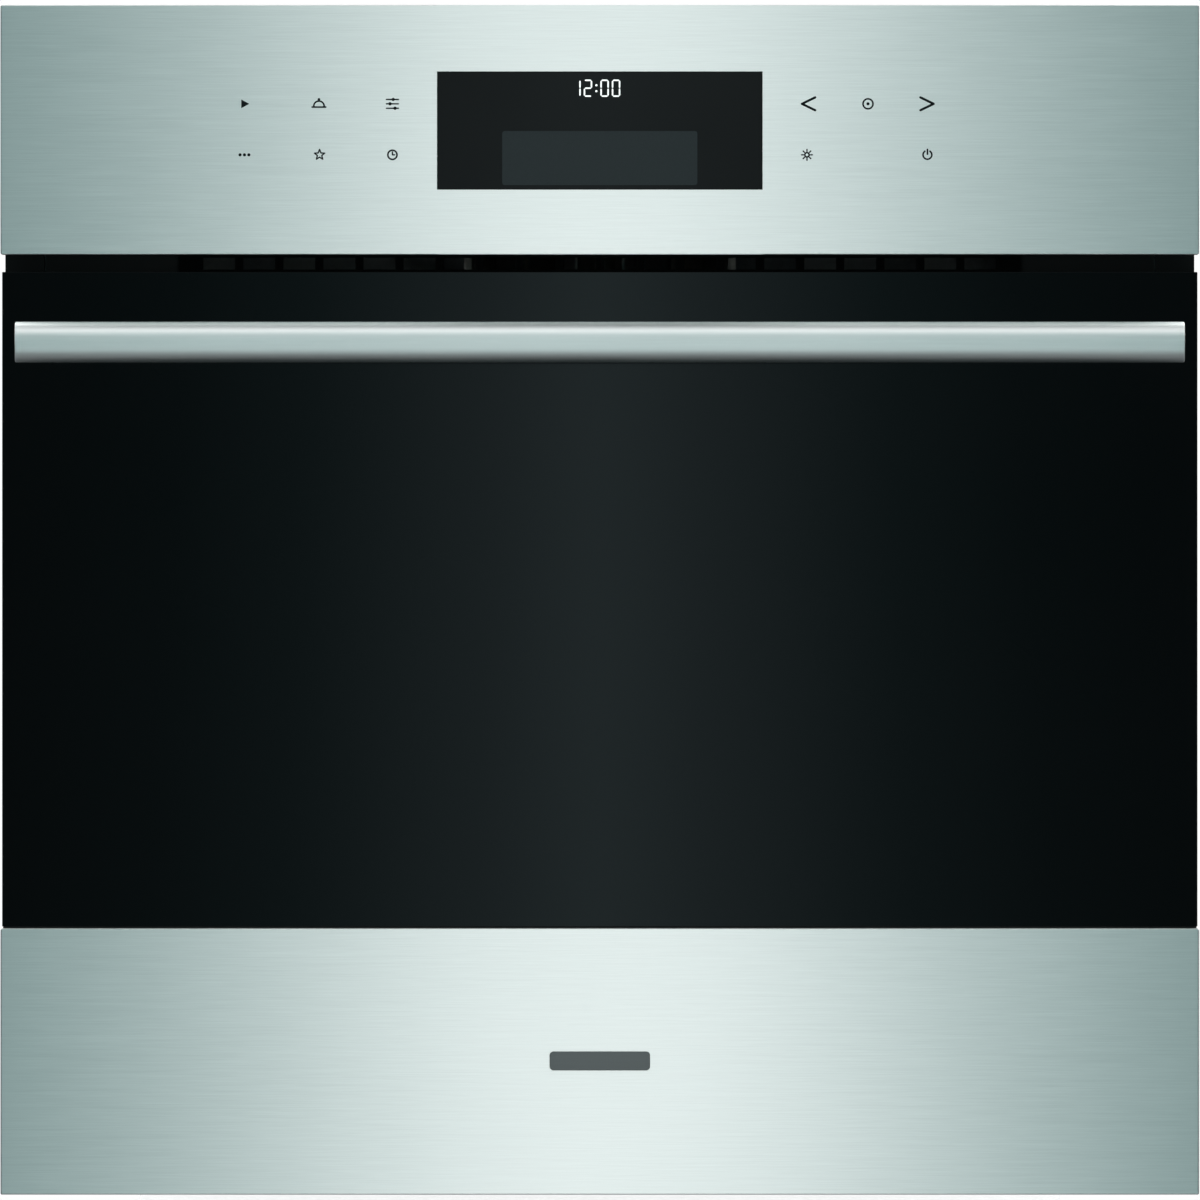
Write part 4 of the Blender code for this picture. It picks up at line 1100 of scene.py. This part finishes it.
def cavity_pressings():
    """Shallow pressings in the cavity's floor, ceiling, side walls and rear wall."""
    low_z, high_z, half_x, rear_y = 0.0786, 0.4206, 0.2350, 0.1620
    bm = bmesh.new()
    add_bead(bm, (-0.19, -0.20), (0.19, 0.09), 0.03, low_z, "z", 0.0030)
    add_bead(bm, (-0.202, -0.20), (0.135, 0.09), 0.03, high_z, "z", 0.0022)
    for side in (-1, 1):
        add_bead(bm, (-0.17, 0.13), (0.07, 0.36), 0.02, side * half_x, "x", 0.0016)
    add_bead(bm, (-0.215, 0.105), (0.215, 0.395), 0.02, rear_y, "y", 0.0020)
    piece("cavity_pressings", bm, "carcase", "graphite_enamel", angle=60)


def cavity_screws():
    """Screws at the corners of the fan baffle and on the front frame."""
    low, high = box_of("fan_baffle")
    frame_y = box_of("front_frame")[0].y
    forward = (0, -1, 0)
    bm = bmesh.new()
    for x in (low.x + 0.018, high.x - 0.018):
        for z in (low.z + 0.018, high.z - 0.018):
            add_screw(bm, (x, low.y, z), forward)
    for x in (-0.2640, 0.2640):
        for z in (0.10, 0.25, 0.40):
            add_screw(bm, (x, frame_y, z), forward, 0.0034)
    for x in (-0.15, 0.15):
        add_screw(bm, (x, frame_y, 0.030), forward, 0.0034)
    piece("cavity_screws", bm, "carcase", "zinc_plated")


def baffle_pressing():
    """A raised ring round the baffle's holes, and a low boss at its middle."""
    low, high = box_of("fan_baffle")
    x, z = (low.x + high.x) / 2, (low.z + high.z) / 2
    boss = [(0.0, 0.0028), (0.0040, 0.0027), (0.0085, 0.0020), (0.0110, 0.0)]
    bm = bmesh.new()
    add_tube(bm, lifted(circle((x, z), 0.0640), low.y, "y"), 0.0022, 10, True)
    add_turned(bm, boss, (x, low.y, z), (0, -1, 0), 40)
    piece("baffle_pressing", bm, "carcase", "graphite_enamel", angle=60)


def lamp_cover():
    """A dished glass with rings pressed into its face, and a wire ring that holds it."""
    low, high = box_of("lamp_lens")
    x, y, base = (low.x + high.x) / 2, (low.y + high.y) / 2, low.z
    profile = [(0.0, 0.0)]
    for i in range(1, 9):
        dish = 0.0000045 * (i * 2) ** 2
        profile.append((0.0020 * i + 0.0002, 0.0003 * (i % 2) + dish))
    profile += [(0.0205, 0.0028), (0.0245, 0.0052), (0.0285, 0.0085), (0.0285, 0.0122)]
    profile += [(0.0225, 0.0122), (0.0205, 0.0082), (0.0140, 0.0042), (0.0, 0.0032)]
    bm = bmesh.new()
    add_turned(bm, profile, (x, y, base), (0, 0, 1), 60)
    piece("lamp_dish", bm, "carcase", "lamp_glass", ["lamp_lens"])
    bm = bmesh.new()
    add_tube(bm, lifted(circle((x, y), 0.0275), base + 0.0084, "z"), 0.0014, 10, True)
    piece("lamp_ring", bm, "carcase", "chrome_wire")


# Casing


BEAD = 0.0022


def side_fittings(beads, hoods, screws, side, x, top):
    for corners in (((-0.20, 0.06), (0.20, 0.24)), ((-0.20, 0.27), (0.20, 0.44))):
        add_bead(beads, *corners, 0.025, x, "x", BEAD)
    outward, up = (side, 0, 0), (0, 0, 1)
    for row in range(4):
        z = 0.4976 + 0.0180 * row
        for start in (0.0290, 0.1190):
            add_hood(hoods, (x, start, z), (x, start + 0.0620, z), outward, up, 0.0030, 0.0052)
    for y in (-0.225, 0.0, 0.235):
        for z in (0.018, top - 0.016):
            add_screw(screws, (x, y, z), outward)
    for z in (0.16, 0.30, 0.44):
        add_screw(screws, (x, 0.240, z), outward)


def top_fittings(beads, hoods, screws, z):
    for corners in (((-0.25, -0.22), (-0.02, 0.12)), ((0.02, -0.22), (0.25, 0.12))):
        add_bead(beads, *corners, 0.025, z, "z", BEAD)
    outward, forward, half = (0, 0, 1), (0, -1, 0), 0.0455
    for row in range(3):
        y = 0.1510 + 0.0180 * row
        for middle in (-0.1500, 0.0, 0.1500):
            ends = (middle - half, y, z), (middle + half, y, z)
            add_hood(hoods, *ends, outward, forward, 0.0028, 0.0050)
    for x in (-0.262, -0.09, 0.09, 0.262):
        for y in (-0.235, 0.232):
            add_screw(screws, (x, y, z), outward)


def rear_fittings(beads, hoods, screws, y):
    for corners in (((-0.245, 0.03), (0.245, 0.14)), ((-0.06, 0.36), (0.245, 0.56))):
        add_bead(beads, *corners, 0.022, y, "y", BEAD)
    for x in (-0.150, 0.150):
        add_tube(beads, [(x, y, 0.17), (x, y, 0.33)], 0.0030, 12)
    outward, up, half = (0, 1, 0), (0, 0, 1), 0.0285
    for row in range(7):
        z = 0.2036 + 0.0150 * row
        for middle in (-0.0350, 0.0350):
            ends = (middle - half, y, z), (middle + half, y, z)
            add_hood(hoods, *ends, outward, up, 0.0030, 0.0056)
    for x in (-0.264, 0.264):
        for z in (0.016, 0.150, 0.290, 0.430, 0.570):
            add_screw(screws, (x, y, z), outward)
    for x in (-0.10, 0.10):
        for z in (0.016, 0.572):
            add_screw(screws, (x, y, z), outward)


def casing():
    """Stiffening beads, louvres and screws on the panels."""
    left, right = box_of("side_panel_left"), box_of("side_panel_right")
    top, rear = box_of("top_cover")[1].z, box_of("rear_panel")[1].y
    shapes = bmesh.new(), bmesh.new(), bmesh.new()
    side_fittings(*shapes, -1, left[0].x, top)
    side_fittings(*shapes, 1, right[1].x, top)
    top_fittings(*shapes, top)
    rear_fittings(*shapes, rear)
    beads, hoods, screws = shapes
    piece("panel_beads", beads, "carcase", "galvanised_steel", angle=60)
    piece("panel_louvres", hoods, "carcase", "galvanised_steel")
    piece("panel_screws", screws, "carcase", "zinc_plated")


# Camera, light and floor

# The card's brightness, as a share of its middle's, at distances in metres from the middle
CARD = [
    (0.0, (1.0, 0.99, 0.98)),
    (0.02, (0.89, 0.89, 0.885)),
    (0.05, (0.68, 0.695, 0.695)),
    (0.08, (0.53, 0.57, 0.57)),
    (0.11, (0.36, 0.425, 0.425)),
    (0.14, (0.225, 0.305, 0.305)),
    (0.20, (0.105, 0.17, 0.17)),
    (0.26, (0.060, 0.115, 0.115)),
    (0.35, (0.035, 0.080, 0.080)),
    (1.5, (0.02, 0.04, 0.04)),
]
CARD_POWER = 2.46
# What glossy and diffuse rays meet above and below the horizon
SKY, GROUND = 0.16, 0.2
# Place, target, width and height, and watts of each soft box
SOFT_BOXES = {
    "top_box": ((0, -1.1, 2.3), (0, -0.1, 0.3), (2.6, 1.2), 14.5),
    "left_box": ((-2.6, 0.9, 1.3), (0, 0, 0.3), (1.6, 1.6), 22.0),
    "right_box": ((2.6, 0.9, 1.3), (0, 0, 0.3), (1.6, 1.6), 22.0),
    "rear_box": ((0.6, 2.8, 1.5), (0, 0, 0.3), (2.2, 1.6), 40.0),
    "back_box": ((0, 1.3, 2.6), (0, 0.2, 0.2), (3.0, 1.6), 60.0),
}


def camera(front):
    """Square-on and far away, so that the front is seen almost without perspective."""
    lens, sensor = 1000.0, 36.0
    frame_width = 0.59775
    middle_height = 0.2962
    data = bpy.data.cameras.new("camera")
    data.lens = lens
    data.sensor_width = sensor
    distance = frame_width * lens / sensor
    data.clip_start = 1.0
    data.clip_end = 60.0
    obj = bpy.data.objects.new("camera", data)
    obj.location = (0.0001, front - distance, middle_height)
    obj.rotation_euler = (math.pi / 2, 0.0, 0.0)
    bpy.context.scene.collection.objects.link(obj)
    bpy.context.scene.camera = obj


def soft_box(name, place, target, size, power):
    data = bpy.data.lights.new(name, "AREA")
    data.shape = "RECTANGLE"
    data.size, data.size_y = size
    data.energy = power
    obj = bpy.data.objects.new(name, data)
    obj.location = place
    look = Vector(target) - Vector(place)
    obj.rotation_euler = look.to_track_quat("-Z", "Y").to_euler()
    bpy.context.scene.collection.objects.link(obj)


def glow_card(front):
    """A soft card in front of the oven, bright in the middle and fading to both sides. The fade
    is a little wider low down."""
    away, half_width, half_height, middle = 0.75, 1.5, 1.1, 0.35
    low, high = middle - half_height, middle + half_height
    bm = bmesh.new()
    corners = [(-half_width, low), (half_width, low), (half_width, high), (-half_width, high)]
    bm.faces.new([bm.verts.new((x, front - away, z)) for x, z in corners])
    obj = link_mesh("glow_card", bm)
    obj.visible_camera = False
    obj.visible_shadow = False
    obj.visible_diffuse = False
    card = Shader("glow_card", (0, 0, 0), 1.0)
    axes = card.add("ShaderNodeSeparateXYZ", {"Vector": card.place()}).outputs
    spread = {"Value": axes["Z"], "From Min": low, "From Max": high, "To Min": 0.66, "To Max": 1.15}
    narrowing = card.add("ShaderNodeMapRange", spread).outputs["Result"]
    reach = card.maths("DIVIDE", card.maths("ABSOLUTE", axes["X"]), half_width)
    off_centre = card.maths("MULTIPLY", reach, narrowing)
    fade = card.ramp(off_centre, *((x / half_width, level) for x, level in CARD))
    glow = card.add("ShaderNodeEmission", {"Color": fade, "Strength": CARD_POWER})
    out = card.tree.nodes["Material Output"]
    card.tree.links.new(glow.outputs["Emission"], out.inputs["Surface"])
    obj.data.materials.append(card.material)


def studio():
    """White for the camera, a soft grey room for all other rays, and soft boxes round it."""
    world = bpy.data.worlds.new("studio")
    bpy.context.scene.world = world
    world.use_nodes = True
    tree = world.node_tree
    seen = tree.nodes["Background"]
    seen.inputs["Color"].default_value = (1, 1, 1, 1)
    way = add_node(tree, "ShaderNodeTexCoord").outputs["Generated"]
    height = add_node(tree, "ShaderNodeSeparateXYZ", {"Vector": way}).outputs["Z"]
    spread = {"Value": height, "From Min": -0.25, "From Max": 0.15, "To Min": GROUND, "To Max": SKY}
    slope = add_node(tree, "ShaderNodeMapRange", spread).outputs["Result"]
    room = {"Color": (0.93, 0.97, 1.0, 1), "Strength": slope}
    felt = add_node(tree, "ShaderNodeBackground", room)
    path = add_node(tree, "ShaderNodeLightPath").outputs["Is Camera Ray"]
    both = {"Fac": path, 1: felt.outputs["Background"], 2: seen.outputs["Background"]}
    choose = add_node(tree, "ShaderNodeMixShader", both)
    tree.links.new(choose.outputs["Shader"], tree.nodes["World Output"].inputs["Surface"])
    for name, settings in SOFT_BOXES.items():
        soft_box(name, *settings)
    bpy.context.scene.view_settings.view_transform = "Standard"


def pale(name, glow=0.0):
    coat = Shader(name, (0.9, 0.9, 0.9), 1.0, Specular_IOR_Level=0.0)
    coat.tone(coat.noise(3.0, 2.0), (0.3, 0.89), (0.7, 0.92))
    coat.set("Emission Color", (1.0, 1.0, 1.0, 1.0))
    coat.set("Emission Strength", glow)
    return coat.material


def floor():
    """A pale floor low enough for the open door's handle, and a riser under the carcase. The
    riser's front glows, because it would stand in the oven's own shadow."""
    drop, half, inset, gap = 0.085, 4.0, 0.045, 0.0006
    bm = bmesh.new()
    bmesh.ops.create_grid(bm, x_segments=1, y_segments=1, size=half)
    ground = link_mesh("floor", bm)
    ground.location.z = -drop
    ground.data.materials.append(pale("pale_floor"))
    low, high = box_of("base_panel")
    bm = bmesh.new()
    add_box(bm, (low.x + inset, low.y + inset, -drop), (high.x - inset, high.y - inset, -gap))
    riser = link_mesh("riser", bm)
    riser.visible_diffuse = False
    riser.data.materials.append(ground.data.materials[0])
    # The riser's front face glows: painted light that keeps it white in the oven's own shadow.
    riser.data.materials.append(pale("riser_front_glow", 0.7))
    for face in riser.data.polygons:
        face.material_index = int(face.normal.y < -0.5)
    for obj in (ground, riser):
        obj.visible_glossy = False


# Build

dress_nodes()
front_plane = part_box("control_fascia")[0][1]
camera(front_plane)
glow_card(front_plane)
studio()
floor()
control_fascia()
display_glass()
legends()
lower_trim()
door_panes()
handle()
badge()
door_inside()
seal()
ladders()
rack()
tray()
heaters()
cavity_pressings()
cavity_screws()
baffle_pressing()
lamp_cover()
casing()

even_normals()
